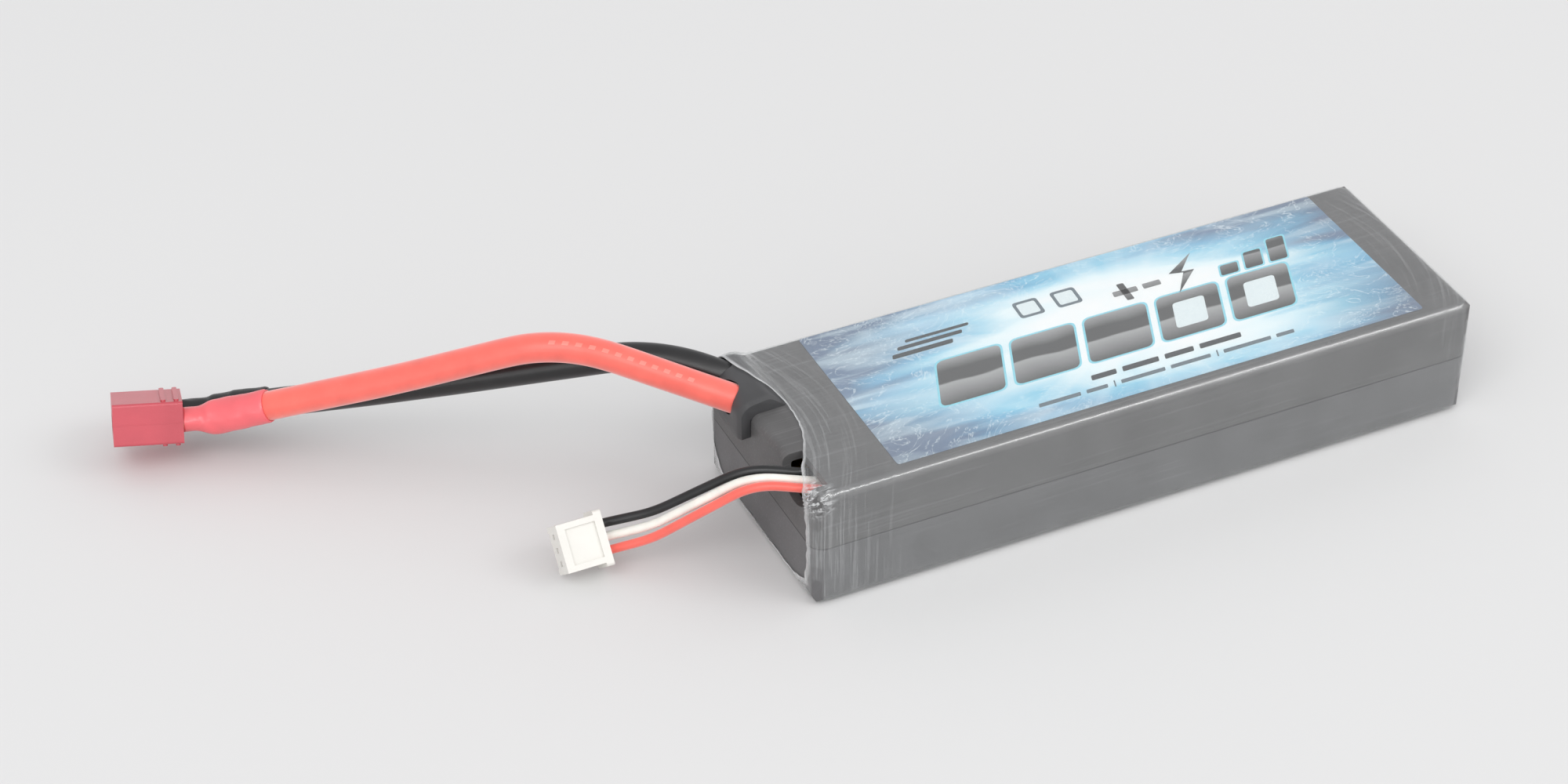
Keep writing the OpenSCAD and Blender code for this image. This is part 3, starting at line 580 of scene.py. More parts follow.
def tube(name, points, first, last, radius, around):
    """A capped tube over points[first..last].

    radius(s, v) gives the radii at length s for the turns v, each 0 to 1. The UV map holds
    length and turn, and the rims of the caps are marked sharp.
    """
    _, side_a, side_b = line_frames(points)
    s = arclen(points)
    v = np.arange(around) / around
    cos_v, sin_v = np.cos(2 * np.pi * v)[:, None], np.sin(2 * np.pi * v)[:, None]
    rings = [points[i] + radius(s[i], v)[:, None] * (cos_v * side_a[i] + sin_v * side_b[i])
             for i in range(first, last + 1)]
    rows = len(rings)
    faces = ring_faces(rows, around) + [start_cap(around), end_cap(rows, around)]
    ob = new_mesh(name, np.array(rings).reshape(-1, 3), faces)
    mesh = ob.data
    uv = mesh.uv_layers.new(name="UVMap")
    rims = set()
    for face in mesh.polygons:
        is_cap = len(face.vertices) > 4
        turns = [vertex % around for vertex in face.vertices]
        wraps = max(turns) == around - 1 and min(turns) == 0 and not is_cap
        for loop, vertex, turn in zip(face.loop_indices, face.vertices, turns):
            if wraps and turn == 0:
                turn = around
            uv.data[loop].uv = (float(s[first + vertex // around]), turn / around)
        if is_cap:
            face.use_smooth = False
            rims.update(face.edge_keys)
    mesh.attributes.new("sharp_edge", "BOOLEAN", "EDGE")
    mesh.attributes["sharp_edge"].data.foreach_set("value", [e.key in rims for e in mesh.edges])
    mesh.update()
    return ob


def nearest(points, target):
    return int(np.argmin(np.linalg.norm(points - np.array(target)[None], axis=1)))


def uneven(base, depth, seed, period=7.0):
    """A radius that wanders slightly along and around the wire."""
    phase = np.random.default_rng(seed).uniform(0, 6.28, 8)

    def radius(s, v):
        wave = (np.sin(s / period + phase[0]) + 0.6 * np.sin(s / (period * 0.43) + phase[1])
                + 0.4 * np.sin(2 * np.pi * 2 * v + s / period + phase[2]))
        return base + depth * wave

    return radius


def cable(prefix, points, radius, around, hinges, end, material, replaced):
    """One cable as pieces that each cross one hinge; hinges holds (centre, half length)."""
    at = [nearest(points, centre) for centre, _ in hinges]
    cuts = [0] + [(a + b) // 2 for a, b in zip(at[:-1], at[1:])] + [end]
    tangents = line_frames(points)[0]
    for k, (_, half) in enumerate(hinges):
        ob = tube(f"{prefix}_{k + 1}", points, cuts[k], cuts[k + 1], radius, around)
        set_mat(ob, material)
        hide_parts(*replaced[k])
        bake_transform(ob)


POWER_RADIUS, POWER_HINGE = 2.75, 2.6
# colour, line, y of its plug contact, seed, hinge centres
POWER_LEADS = [
    ("red", red_line, -CONTACT_Y, 1,
     [(-75.82, 14.44, 27.31), (-106.73, 34.77, 29.64), (-137.73, 55.14, 15.71)]),
    ("black", black_line, CONTACT_Y, 2,
     [(-75.26, 21.39, 27.56), (-106.19, 41.7, 20.24), (-136.33, 61.5, 10.85)]),
]
for color, line, contact_y, seed, centres in POWER_LEADS:
    cable(f"{color}_power_wire", line, uneven(POWER_RADIUS, depth=0.012, seed=seed), 40,
          [(centre, POWER_HINGE) for centre in centres],
          end=nearest(line, power_end(contact_y)) - 4, material=f"silicone_{color}",
          replaced=[[f"{color}_wire_root", f"{color}_wire_mid"], [f"{color}_wire_end"],
                    [f"{color}_wire_tail"]])

BALANCE_RADIUS = 0.85
for i, (color, material, start_y, start_z, inner_y, hinge_y, hinge_2) in enumerate(BALANCE_LEADS):
    line = balance_line(i, start_y, start_z, inner_y)
    cable(f"{color}_balance_wire", line,
          uneven(BALANCE_RADIUS, depth=0.006, seed=10 + i, period=3.0), 24,
          [((-69.45, hinge_y, start_z), 1.6), ((-94.58, *hinge_2), 1.5)],
          end=len(line) - 1, material=material,
          replaced=[[f"balance_{color}_root", f"balance_{color}_mid"],
                    [f"balance_{color}_tail"]])

# ------------------------------------------------------------------ heat-shrink sleeves
SLEEVE_LENGTH = 17.3
SLEEVE_BORE = 2.79  # radius of the inner wall
# Lumps around the sleeve: depth, lobes, radians of twist per mm
SLEEVE_LUMPS = [(0.035, 3, 0.9), (0.03, 2, -0.6), (0.02, 5, 1.7)]


def stepped(d, base, steps):
    """base plus eased steps; each step is (change, from d, to d)"""
    return float(base + sum(change * smoothstep(a, b, d) for change, a, b in steps))


def sleeve(color, line, seed, profile, flatness):
    """Shrunk tube over the end of a power wire.

    profile gives the radius, flatness the squeeze across the plug's thickness; both are
    read at the distance from the end of the line.
    """
    s = arclen(line)
    first = int(np.searchsorted(s, s[-1] - SLEEVE_LENGTH))
    phase = np.random.default_rng(seed).uniform(0, 6.28, 10)
    tangents, side_a, side_b = line_frames(line)
    thickness = PLUG_ROT @ np.array([0, 0, 1.0])
    around = 48
    angle = np.arange(around) / around * 2 * np.pi
    rings = []
    for i in range(first, len(line)):
        d = s[-1] - s[i]
        lump = sum(depth * np.sin(lobes * angle + d * twist + phase[k])
                   for k, (depth, lobes, twist) in enumerate(SLEEVE_LUMPS))
        # fine shrink folds near the plug
        lump = lump + 0.05 * np.exp(-d / 3.0) * np.sin(9 * angle + phase[3] + d)
        outward = np.cos(angle)[:, None] * side_a[i] + np.sin(angle)[:, None] * side_b[i]
        offset = outward * (stepped(d, *profile) + lump)[:, None]
        across = thickness - tangents[i] * (thickness @ tangents[i])
        across /= np.linalg.norm(across)
        offset -= (offset @ across)[:, None] * across[None] * (1 - stepped(d, *flatness))
        rings.append(line[i][None] + offset)

    def directions(k):
        spokes = rings[k] - line[first + k]
        return spokes / np.linalg.norm(spokes, axis=1)[:, None]

    # inner wall tucked back under the sleeve, then a rolled lip
    tucked = 12
    centre, spokes = line[first], directions(0)
    lip_radius = stepped(SLEEVE_LENGTH, *profile)
    lip = [line[first + tucked] + directions(tucked) * SLEEVE_BORE,
           centre + spokes * SLEEVE_BORE,
           centre + spokes * (lip_radius - 0.22),
           centre + tangents[first] * 0.08 + spokes * (lip_radius - 0.07)]
    rings = np.array(lip + rings[1:])
    rows = len(rings)
    faces = ring_faces(rows, around) + [end_cap(rows, around), start_cap(around)]
    ob = new_mesh(f"{color}_sleeve", rings.reshape(-1, 3), faces)
    for face in ob.data.polygons:
        if len(face.vertices) > 4:
            face.use_smooth = False
    fix_normals(ob)
    set_mat(ob, f"shrink_{color}")
    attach(ob, "plug_head")
    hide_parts(f"{color}_heat_shrink")


sleeve("red", red_line, seed=5,
       profile=(2.85, [(0.42, 2.6, 5.4), (-0.10, 11.8, 13.2), (-0.03, 16.5, 17.4)]),
       flatness=(0.80, [(0.20, 2.0, 6.5)]))
sleeve("black", black_line, seed=6,
       profile=(2.70, [(0.36, 4.8, 6.4), (0.16, 9.8, 10.6), (-0.05, 16.6, 17.4)]),
       flatness=(0.88, [(0.12, 3.0, 8.0)]))

# ------------------------------------------------------------------ wire-exit hood
HOOD_CORNER_R = 3.2
HOOD_CORNER_X, HOOD_CORNER_Z = -67.7, 24.5
HOOD_FACE_X = HOOD_CORNER_X - HOOD_CORNER_R  # the face the power wires come out of
HOOD_TOP = HOOD_CORNER_Z + HOOD_CORNER_R
HOOD_CEILING = 24.4
HOOD_BACK_X = -60.7
# x, z of the underside
HOOD_INNER = [(HOOD_BACK_X, HOOD_CEILING), (-64.0, HOOD_CEILING), (-67.6, HOOD_CEILING),
              (-68.6, 23.6), (-68.6, 21.4), (-68.6, 19.8)]
# y of the sections
HOOD_YS = [4.35, 4.5, 5.0, 5.8, 7.0, 9.0, 11.0, 13.0, 15.0, 16.5, 18.0, 19.0, 19.8, 20.4, 20.9,
           21.1]
WIRE_HOLE_R = 3.02


def hood_mesh():
    outer = [(HOOD_FACE_X, z) for z in (19.8, 21.0, 22.6, 24.2)]
    outer += [(HOOD_CORNER_X + HOOD_CORNER_R * cos_deg(a), HOOD_CORNER_Z + HOOD_CORNER_R * sin_deg(a))
              for a in np.linspace(180, 90, 13)]
    outer += [(x, HOOD_TOP) for x in np.linspace(-67.1, HOOD_BACK_X, 13)]
    verts = []
    for y in HOOD_YS:
        # soft shoulders at the low-y and high-y sides
        low = 0.55 * (1 - smoothstep(HOOD_YS[0], 5.3, y))
        high = 1.6 * smoothstep(18.2, HOOD_YS[-1], y) ** 1.5
        for x, z in outer:
            # the top falls away towards the case
            fall = 2.75 * smoothstep(-65.4, -60.4, x)
            lift = (z - HOOD_CEILING) / (HOOD_TOP - HOOD_CEILING) if z > HOOD_CEILING else 0.0
            inset = (low * 0.8 + high * 0.25) * smoothstep(-68.5, HOOD_FACE_X, x)
            wave = 0.35 * math.sin((x + 66) * 0.55) if y < 6 else 0.0
            verts.append((x + inset, y + wave, z - lift * (low + high + fall)))
        verts += [(x, y, z) for x, z in HOOD_INNER]
    around, rows = len(outer) + len(HOOD_INNER), len(HOOD_YS)
    faces = ring_faces(rows, around) + [start_cap(around), end_cap(rows, around)]
    ob = new_mesh("exit_hood", verts, faces)
    fix_normals(ob)
    return ob


hood = hood_mesh()
cutters = []
for name, line in (("cut_red", red_line), ("cut_black", black_line)):
    cutter = tube(name, line, 0, 45, lambda s, v: np.full_like(v, WIRE_HOLE_R), 40)
    cutters.append(cutter)
    cut = hood.modifiers.new("cut", "BOOLEAN")
    cut.operation = "DIFFERENCE"
    cut.solver = "EXACT"
    cut.object = cutter
apply_mods(hood)
for cutter in cutters:
    bpy.data.objects.remove(cutter)


def add_bevel(ob, name, width, segments, angle):
    bevel = ob.modifiers.new(name, "BEVEL")
    bevel.width = width * MM
    bevel.segments = segments
    bevel.limit_method = "ANGLE"
    bevel.angle_limit = math.radians(angle)


add_bevel(hood, "edge", width=0.22, segments=2, angle=45)
apply_mods(hood)
smooth_shade(hood.data)
hood.data.update()
set_mat(hood, "cover_plastic_dark")
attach(hood, "pack")
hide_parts("exit_cover")

# ------------------------------------------------------------------ clear shrink film
# The film is found by shooting rays out from a line along X. The parameter t runs along
# that line and, past FAN, turns towards the end faces; it grows towards the wire end.
AXIS_Y, AXIS_Z, FAN = 1.0, 12.5, 57.0
FAN_RATE = 20.0  # t per radian of turn
UPRIGHT_R, EDGE_R = 3.0, 2.0  # rounding of the upright corners and of the other edges
AROUND = 400
FAR_ROWS, SIDE_ROWS, WIRE_ROWS = 34, 62, 44
WIRE_ROWS_START = 52.0
FAR_HOLE_HALF_Y, FAR_HOLE_HALF_Z = 15.2, 6.4  # opening in the far end face

# x, y, z of the film's edge around the wire end
LIP = [
    (-61.35, 3.7, 25), (-61.8, -1.6, 25), (-62.5, -4.6, 25), (-63.7, -7.4, 25),
    (-65.1, -10.4, 25), (-66.9, -13.3, 25), (-68.1, -16.6, 24.5), (-69, -18.9, 20.5),
    (-69, -19.6, 16), (-69, -19.9, 12.5), (-69, -19.6, 7), (-69, -18.8, 3.6),
    (-69, -15, 2.1), (-69, -6, 1.7), (-69, 4, 1.5), (-69, 12, 1.5),
    (-69, 16.8, 1.8), (-69, 18.6, 3.6), (-69, 20.3, 6.2), (-69, 21.4, 9.9),
    (-69, 22.0, 13.7), (-68.8, 22.3, 18.2), (-68.4, 22.1, 22.6), (-67.9, 20.8, 26.0),
    (-67.5, 18.6, 28), (-67.0, 16.4, 28), (-66.1, 13.6, 28), (-64.9, 11.0, 28),
    (-63.3, 8.2, 27.4), (-61.9, 5.9, 26),
]
# Two creases along the sides: x and z of their courses
CREASE_1_X = [-69, -44, -28, -12, 5, 21, 40, 69]
CREASE_1_Z = [11.3, 11.2, 12.8, 14.3, 15.4, 16.1, 15.6, 16.2]
CREASE_2_X = [-69, -30, 10, 69]
CREASE_2_Z = [10.6, 10.9, 12.4, 13.0]


def hood_rise(x, y):
    """How far the film stands up over the wire exit, 0 to 1."""
    return smoothstep(-59.3, -65.6, x) * smoothstep(1.2, 7.4, y) * smoothstep(23.4, 18.6, y)


def rounded(a, b, r):
    """Signed distance for a rounded corner between two faces."""
    return np.hypot(np.maximum(a, 0), np.maximum(b, 0)) + np.minimum(np.maximum(a, b), 0) - r


def film_distance(p):
    """Signed distance to the case, with drafted sides and the rise over the wire exit."""
    x, y, z = p[..., 0], p[..., 1], p[..., 2]
    z = z - 3.05 * hood_rise(x, y) * smoothstep(15.0, 25.5, z)
    taper = np.abs(z - SEAM_Z) * math.tan(math.radians(1.6))
    plan = rounded(np.abs(x) + taper - (HALF_LENGTH - UPRIGHT_R),
                   np.abs(y) + taper - (HALF_WIDTH - UPRIGHT_R), UPRIGHT_R)
    return rounded(plan + EDGE_R, np.abs(z - HALF_HEIGHT) - (HALF_HEIGHT - EDGE_R), EDGE_R)


def shoot(origin, ray):
    """Where rays meet the film, by halving the interval."""
    low = np.full(origin.shape[:-1], 2.0)
    high = np.full(origin.shape[:-1], 60.0)
    for _ in range(34):
        mid = 0.5 * (low + high)
        inside = film_distance(origin + ray * mid[..., None]) < 0
        low = np.where(inside, mid, low)
        high = np.where(inside, high, mid)
    return origin + ray * high[..., None]


def film_point(t, theta):
    t, theta = np.broadcast_arrays(t, theta)
    turn = np.clip((np.abs(t) - FAN) / FAN_RATE, 0, None)
    x = -np.clip(t, -FAN, FAN)
    origin = np.stack([x, np.full_like(x, AXIS_Y), np.full_like(x, AXIS_Z)], -1)
    ray = np.stack([-np.sign(t) * np.sin(turn), np.cos(turn) * np.cos(theta),
                    np.cos(turn) * np.sin(theta)], -1)
    return shoot(origin, ray)


def film_params(x, y, z):
    """t and angle of a point on the film, on the sides or at the wire end."""
    theta = math.atan2(z - AXIS_Z, y - AXIS_Y)
    if x < -FAN:
        return FAN + FAN_RATE * math.atan2(-(x + FAN), math.hypot(y - AXIS_Y, z - AXIS_Z)), theta
    return -x, theta


def even_angles():
    """Angles that are equally spaced round the film's girth."""
    dense = np.linspace(0, 2 * np.pi, 4001)
    girth = arclen(film_point(0.0, dense))
    return np.interp(np.arange(AROUND) / AROUND * girth[-1], girth, dense)


def lip_course(theta):
    """t of the film's edge at the wire end, slightly smoothed and then ruffled."""
    lip = np.array([film_params(*point) for point in LIP])
    lip[:, 1] = np.mod(lip[:, 1], 2 * np.pi)
    lip = lip[np.argsort(lip[:, 1])]
    angles = np.concatenate([lip[:, 1] - 2 * np.pi, lip[:, 1], lip[:, 1] + 2 * np.pi])
    t = np.interp(theta, angles, np.tile(lip[:, 0], 3))
    kernel = np.exp(-np.arange(-6, 7) ** 2 / 9.0)
    kernel /= kernel.sum()
    t = np.convolve(np.concatenate([t[-6:], t, t[:6]]), kernel, "valid")
    return t + 0.05 * np.sin(theta * 31 + 1.3) + 0.03 * np.sin(theta * 53)


def far_course(theta):
    """t of the rounded oblong opening in the far end face."""
    radius = (np.abs(np.cos(theta) / FAR_HOLE_HALF_Y) ** 3
              + np.abs(np.sin(theta) / FAR_HOLE_HALF_Z) ** 3) ** (-1 / 3)
    t = -(FAN + FAN_RATE * np.arctan2(HALF_LENGTH - FAN, radius))
    return t + 0.15 * np.sin(theta * 9) + 0.1 * np.sin(theta * 23)


def span_rows(start, stop, count, endpoint=False):
    return start + (stop - start) * np.linspace(0, 1, count, endpoint=endpoint)[:, None]


def grid_normals(points):
    around = np.roll(points, -1, 1) - np.roll(points, 1, 1)
    n = np.cross(np.gradient(points, axis=0), around)
    n /= np.linalg.norm(n, axis=-1)[..., None] + 1e-12
    outward = points - np.array([0, AXIS_Y, AXIS_Z])
    outward[..., 0] = 0
    flip = np.sign(np.sum(n * outward, -1))
    flip[flip == 0] = 1
    return n * flip[..., None]


def loose_waves(x, y, z):
    """Slow waviness of the loose film."""
    draws = np.random.default_rng(3)
    count, amplitude = 12, 0.022
    total = np.zeros(x.shape)
    for _ in range(count):
        wave = draws.normal(0, 1, 3) / np.array((30, 12, 12))
        total += np.sin(x * wave[0] + y * wave[1] + z * wave[2] + draws.uniform(0, 6.28))
    return amplitude * total / math.sqrt(count)


def side_creases(x, y, z):
    """Lengthwise wavy creases on the sides."""
    def crease(course, width, height):
        return height * np.exp(-((z - course) / width) ** 2)

    course_1 = np.interp(x, CREASE_1_X, CREASE_1_Z) + 0.18 * np.sin(x / 5.5)
    course_2 = np.interp(x, CREASE_2_X, CREASE_2_Z) + 0.15 * np.sin(x / 4.1 + 1)
    side = smoothstep(21.0, 22.2, np.abs(y)) * smoothstep(-66, -60, x)
    return side * (crease(course_1, width=0.24, height=0.085)
                   + crease(course_2, width=0.20, height=0.055) * smoothstep(60, 20, x)
                   + crease(6.2 + 0.5 * np.sin(x / 13), width=0.26, height=0.02)
                   * smoothstep(-20, 10, x))


def top_streaks(x, y, z):
    """Streaks across the top near both ends, where the film pulled tight."""
    wire = (np.sin((x + 0.012 * (y - 2) ** 2) * 3.1 + 0.7 * np.sin(y / 4.0))
            + 0.6 * np.sin((x + 0.016 * (y - 2) ** 2) * 5.3 + 1.1))
    far = np.sin((x - 0.004 * (y + 4) ** 2) * 2.7)
    top = smoothstep(24.4, 24.9, z)
    return top * (0.034 * wire * smoothstep(-44, -54, x) + 0.02 * far * smoothstep(58, 64, x))


def corner_gather(x, y, z):
    """Crumple at the -y top corner of the wire end."""
    distance = np.sqrt((x + 67.6) ** 2 + (y + 19.5) ** 2 + (z - 23.0) ** 2)
    angle = np.arctan2(z - 21.0, y + 17.5)
    return np.exp(-(distance / 2.7) ** 2) * (0.42 * np.abs(np.sin(angle * 9 + 1.4 * x))
                                             + 0.20 * np.sin(angle * 17 + x * 2.3))


def build_film():
    theta = even_angles()
    fan = np.full(AROUND, FAN)
    t = np.concatenate([
        span_rows(far_course(theta), -fan, FAR_ROWS),
        span_rows(-fan, WIRE_ROWS_START, SIDE_ROWS),
        span_rows(WIRE_ROWS_START, lip_course(theta), WIRE_ROWS, endpoint=True),
    ])
    rows = len(t)
    points = film_point(t, theta)
    xyz = points[..., 0], points[..., 1], points[..., 2]
    # shallow pleats along the lip
    edge = smoothstep(0.86, 1.0, np.linspace(0, 1, rows))[:, None]
    pleats = edge * (0.015 * np.sin(theta * 47) + 0.02 * np.sin(theta * 29 + 1))
    clearance, deepest = 0.02, -0.09
    relief = (loose_waves(*xyz) + side_creases(*xyz) + top_streaks(*xyz) + corner_gather(*xyz)
              + pleats + clearance)
    points = points + grid_normals(points) * np.maximum(relief, deepest)[..., None]
    points[..., 2] = np.maximum(points[..., 2], 0.0)
    film = new_mesh("shrink_film", points.reshape(-1, 3), ring_faces(rows, AROUND))

    bm = bmesh.new()
    bm.from_mesh(film.data)
    bmesh.ops.recalc_face_normals(bm, faces=bm.faces)
    # the topmost face shows whether the open skin came out inside out
    top_face = max(bm.faces, key=lambda f: f.calc_center_median().z)
    if top_face.normal.z < 0:
        bmesh.ops.reverse_faces(bm, faces=bm.faces)
    bm.to_mesh(film.data)
    bm.free()

    # painted highlight: how strongly the film's edges turn milky, standing in for the light their cut
    # edges catch
    lip = np.zeros((rows, AROUND), np.float32)
    lip[-1] = 1.0
    lip[-2] = 0.55
    lip[0] = 0.8
    attribute = film.data.attributes.new("lip", "FLOAT", "POINT")
    attribute.data.foreach_set("value", lip.reshape(-1))
    skin = film.modifiers.new("skin", "SOLIDIFY")
    skin.thickness = 0.13 * MM
    skin.offset = -1
    skin.use_even_offset = False
    apply_mods(film)
    smooth_shade(film.data)
    return film


def film_material():
    s = new_material("clear_shrink_film")
    edge_highlight_noise = s.noise(scale=0.35, detail=4.0, rough=0.6)
    cloud = s.noise(scale=0.05)
    X, Y, Z = s.split(s.coords())

    # fine curved drawing lines, strongest towards both ends
    bow = s.mul(s.mul(s.add(Y, -2.0), s.add(Y, -2.0)), 0.013)
    drawn = s.combine(s.mul(s.add(X, bow), 1.9), s.mul(Y, 0.06), s.mul(Z, 0.06))
    lines = s.noise(detail=4.0, rough=0.65, vec=drawn)
    wire_end = s.sub(1.0, s.div(s.add(X, HALF_LENGTH), 22.0), clamp=True)
    far_end = s.div(s.add(X, -57.0), 16.0, clamp=True)
    ends = s.add(wire_end, far_end, clamp=True)
    cross_lines = s.mul(lines, s.add(s.mul(ends, 0.9), 0.1))
    long_lines = s.noise(detail=3.0, rough=0.6, vec=s.scaled((0.05, 1.5, 1.5)))
    normal = s.bump(s.add(cross_lines, s.mul(long_lines, 0.35)), strength=0.14,
                    distance=0.00010)

    gloss = s.node("ShaderNodeBsdfGlossy",
                   {"Color": WHITE, "Roughness": s.vary(cloud, base=0.14, span=0.10),
                    "Normal": normal}).outputs[0]
    clear = s.node("ShaderNodeBsdfTransparent", {"Color": (0.985, 0.99, 0.99)}).outputs[0]
    milky = s.node("ShaderNodeBsdfDiffuse", {"Color": (0.86, 0.87, 0.88)}).outputs[0]

    # reflection grows towards grazing angles
    incoming = s.node("ShaderNodeNewGeometry").outputs["Incoming"]
    dot = s.node("ShaderNodeVectorMath", {0: normal, 1: incoming}, operation="DOT_PRODUCT")
    facing = s.math("ABSOLUTE", dot.outputs["Value"])
    grazing = s.math("POWER", s.sub(1.0, facing, clamp=True), 5.0)
    fresnel = s.vary(grazing, base=0.035, span=0.9)
    glossy_clear = s.mix_shaders(s.mul(fresnel, 0.9, clamp=True), clear, gloss)

    # milkiness: clouds, specks, scratches and pulled lines, plus painted highlight on the crumpled
    # corner and along the edges
    speck = s.mask(s.noise(scale=1.35, detail=6.0, rough=0.75), 0.735, 0.76)
    scratch_vec = s.scaled((0.25, 3.4, 3.4), offset=(4, 1, 2))
    scratch = s.mask(s.noise(detail=3.0, rough=0.7, vec=scratch_vec, warp=0.4), 0.70, 0.78)
    haze_and_highlight = s.vary(s.sub(cloud, 0.4, clamp=True), base=0.030, span=0.02)
    haze_and_highlight = s.add(haze_and_highlight, s.mul(speck, 0.20))
    haze_and_highlight = s.add(haze_and_highlight, s.mul(scratch, 0.03))
    pulled = s.mask(lines, 0.52, 0.62)
    haze_and_highlight = s.add(haze_and_highlight, s.mul(s.mul(pulled, ends), 0.09))
    # painted highlight: milky patches over the crumpled corner stand in for its glints
    dx, dy, dz = s.add(X, 67.4), s.add(Y, 20.6), s.sub(Z, 23.2)
    distance = s.math("SQRT", s.add(s.add(s.mul(dx, dx), s.mul(dy, dy)), s.mul(dz, dz)))
    corner = s.sub(1.0, s.div(distance, 4.2), clamp=True)
    fold_highlight_vec = s.scaled((0.5, 1.6, 1.6), offset=(2, 7, 5))
    fold_highlight = s.mask(s.noise(detail=4.0, rough=0.6, vec=fold_highlight_vec, warp=1.2), 0.50, 0.60)
    haze_and_highlight = s.add(haze_and_highlight, s.mul(s.mul(corner, fold_highlight), 0.85))
    # painted highlight: the milky edge rows stand in for light caught by the film's cut edges
    lip = s.node("ShaderNodeAttribute", attribute_name="lip").outputs["Fac"]
    haze_and_highlight = s.add(haze_and_highlight, s.mul(lip, s.mul(edge_highlight_noise, 0.75)), clamp=True)
    s.done(s.mix_shaders(haze_and_highlight, glossy_clear, milky))


film = build_film()
film_material()
set_mat(film, "clear_shrink_film")
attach(film, "pack")
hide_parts("film_sleeve")

# ------------------------------------------------------------------ label background
LABEL_X, LABEL_Y = 4.0, 0.8
BURST_X, BURST_Y = LABEL_X + 3.0, LABEL_Y - 1.0
# place from the burst's centre outwards, colour
BURST_COLORS = [
    (0.26, (1.0, 1.0, 1.0)), (0.46, (0.80, 0.95, 0.99)), (0.64, (0.30, 0.66, 0.84)),
    (0.82, (0.17, 0.45, 0.67)), (1.0, (0.13, 0.22, 0.36)),
]


def label_material():
    """A pale burst of rays on blue, with wavy bands, dusky corners and thin filaments."""
    s = new_material("label_burst")
    X, Y, _ = s.split(s.coords())
    across = s.div(s.sub(X, BURST_X), 60.0)
    up = s.div(s.sub(Y, BURST_Y), 29.0)
    radius = s.math("SQRT", s.add(s.mul(across, across), s.mul(up, up)))
    divisor = s.math("MAXIMUM", radius, 0.02)
    ray_vec = s.combine(s.mul(s.div(across, divisor), 4.6), s.mul(s.div(up, divisor), 4.6),
                        s.mul(radius, 0.35))
    rays = s.mask(s.noise(detail=3.0, vec=ray_vec), 0.36, 0.66)
    wave = s.noise(vec=s.scaled((0.022, 0.11, 0.2), offset=(1.7, 0.4, 0)), warp=0.8)
    band_vec = s.scaled((0.03, 0.20, 0.2), offset=(8.7, 3.4, 0))
    bands = s.mask(s.noise(detail=3.0, vec=band_vec, warp=0.9), 0.48, 0.64)

    col = s.ramp(s.add(radius, s.mul(s.sub(wave, 0.5), 0.9)), BURST_COLORS)
    glow = s.mul(rays, s.sub(1.15, radius, clamp=True))
    col = s.mix(s.mul(glow, 0.85), col, (0.95, 0.99, 1.0))
    outside = s.mul(s.sub(radius, 0.45, clamp=True), 1.5, clamp=True)
    col = s.mix(s.mul(s.mul(bands, outside), 0.85), col, (0.72, 0.88, 0.96))
    from_middle = s.math("ABSOLUTE", s.div(s.sub(X, LABEL_X), 55.0))
    corner = s.mul(s.sub(from_middle, 0.60, clamp=True), 2.2, clamp=True)
    corner = s.mul(corner, s.math("ABSOLUTE", s.div(s.sub(Y, LABEL_Y), 20.5)))
    col = s.mix(s.mul(corner, 0.80, clamp=True), col, (0.16, 0.19, 0.26))
    ridge = s.noise(detail=4.0, rough=0.6, warp=2.6,
                    vec=s.scaled((0.07, 0.12, 0.2), offset=(3.1, 9.4, 0)))
    filament = s.ramp(s.math("ABSOLUTE", s.sub(ridge, 0.5)), [(0.0, WHITE), (0.012, BLACK)])
    col = s.mix(s.mul(filament, 0.55), col, (0.9, 0.98, 1.0))
    s.done(s.principled(col, 0.28, s.bump(s.noise(scale=2.0), strength=0.05,
                                          distance=0.00004)))


label_material()
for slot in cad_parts["top_label"].material_slots:
    slot.material = MATERIALS["label_burst"]


# ------------------------------------------------------------------ label print materials
def gradient_print(name, dark, light, y0, y1):
    """Grey gradient from y0 to y1 with a sharp break halfway up."""
    s = new_material(name)
    Y = s.split(s.coords())[1]
    height = s.div(s.sub(Y, y0), y1 - y0, clamp=True)
    height = s.add(height, s.mul(s.sub(s.noise(scale=0.08, detail=1.0), 0.5), 0.18))
    stops = [(0.0, dark), (0.46, light), (0.50, dark), (0.72, dark), (1.0, light)]
    col = s.ramp(height, [(place, (v, v, v * 1.01)) for place, v in stops])
    fine = s.noise(scale=4.0)
    s.done(s.principled(col, s.vary(fine, base=0.3, span=0.1),
                        s.bump(fine, strength=0.04, distance=0.00003)))


def flat_print(name, color):
    s = new_material(name)
    fine = s.noise(scale=5.0, detail=3.0)
    s.done(s.principled(s.toned(fine, color, 0.15), 0.4,
                        s.bump(fine, strength=0.05, distance=0.00003)))


gradient_print("print_gradient_large", dark=0.07, light=0.42, y0=-8.4, y1=4.4)
gradient_print("print_gradient_small", dark=0.05, light=0.30, y0=6.0, y1=13.0)
flat_print("print_cyan_outline", (0.30, 0.72, 0.85))
flat_print("print_dark_ink", (0.045, 0.05, 0.055))
flat_print("print_soft_ink", (0.14, 0.18, 0.21))
flat_print("print_pale", (0.82, 0.93, 0.97))

# ------------------------------------------------------------------ label graphics
LABEL_TOP = 24.72 + 0.02 + 0.07
LEAN = 0.42  # shift to +X per mm of height on the label


def slanted(x0, x1, y0, y1, shift=None):
    """Parallelogram whose upper edge is shifted towards +X."""
    if shift is None:
        shift = LEAN * (y1 - y0)
    return [(x0, y0), (x1, y0), (x1 + shift, y1), (x0 + shift, y1)]


def corners(poly):
    """Each corner of a polygon with its two neighbours."""
    points = [np.array(p, float) for p in poly]
    return zip(points[-1:] + points[:-1], points, points[1:] + points[:1])


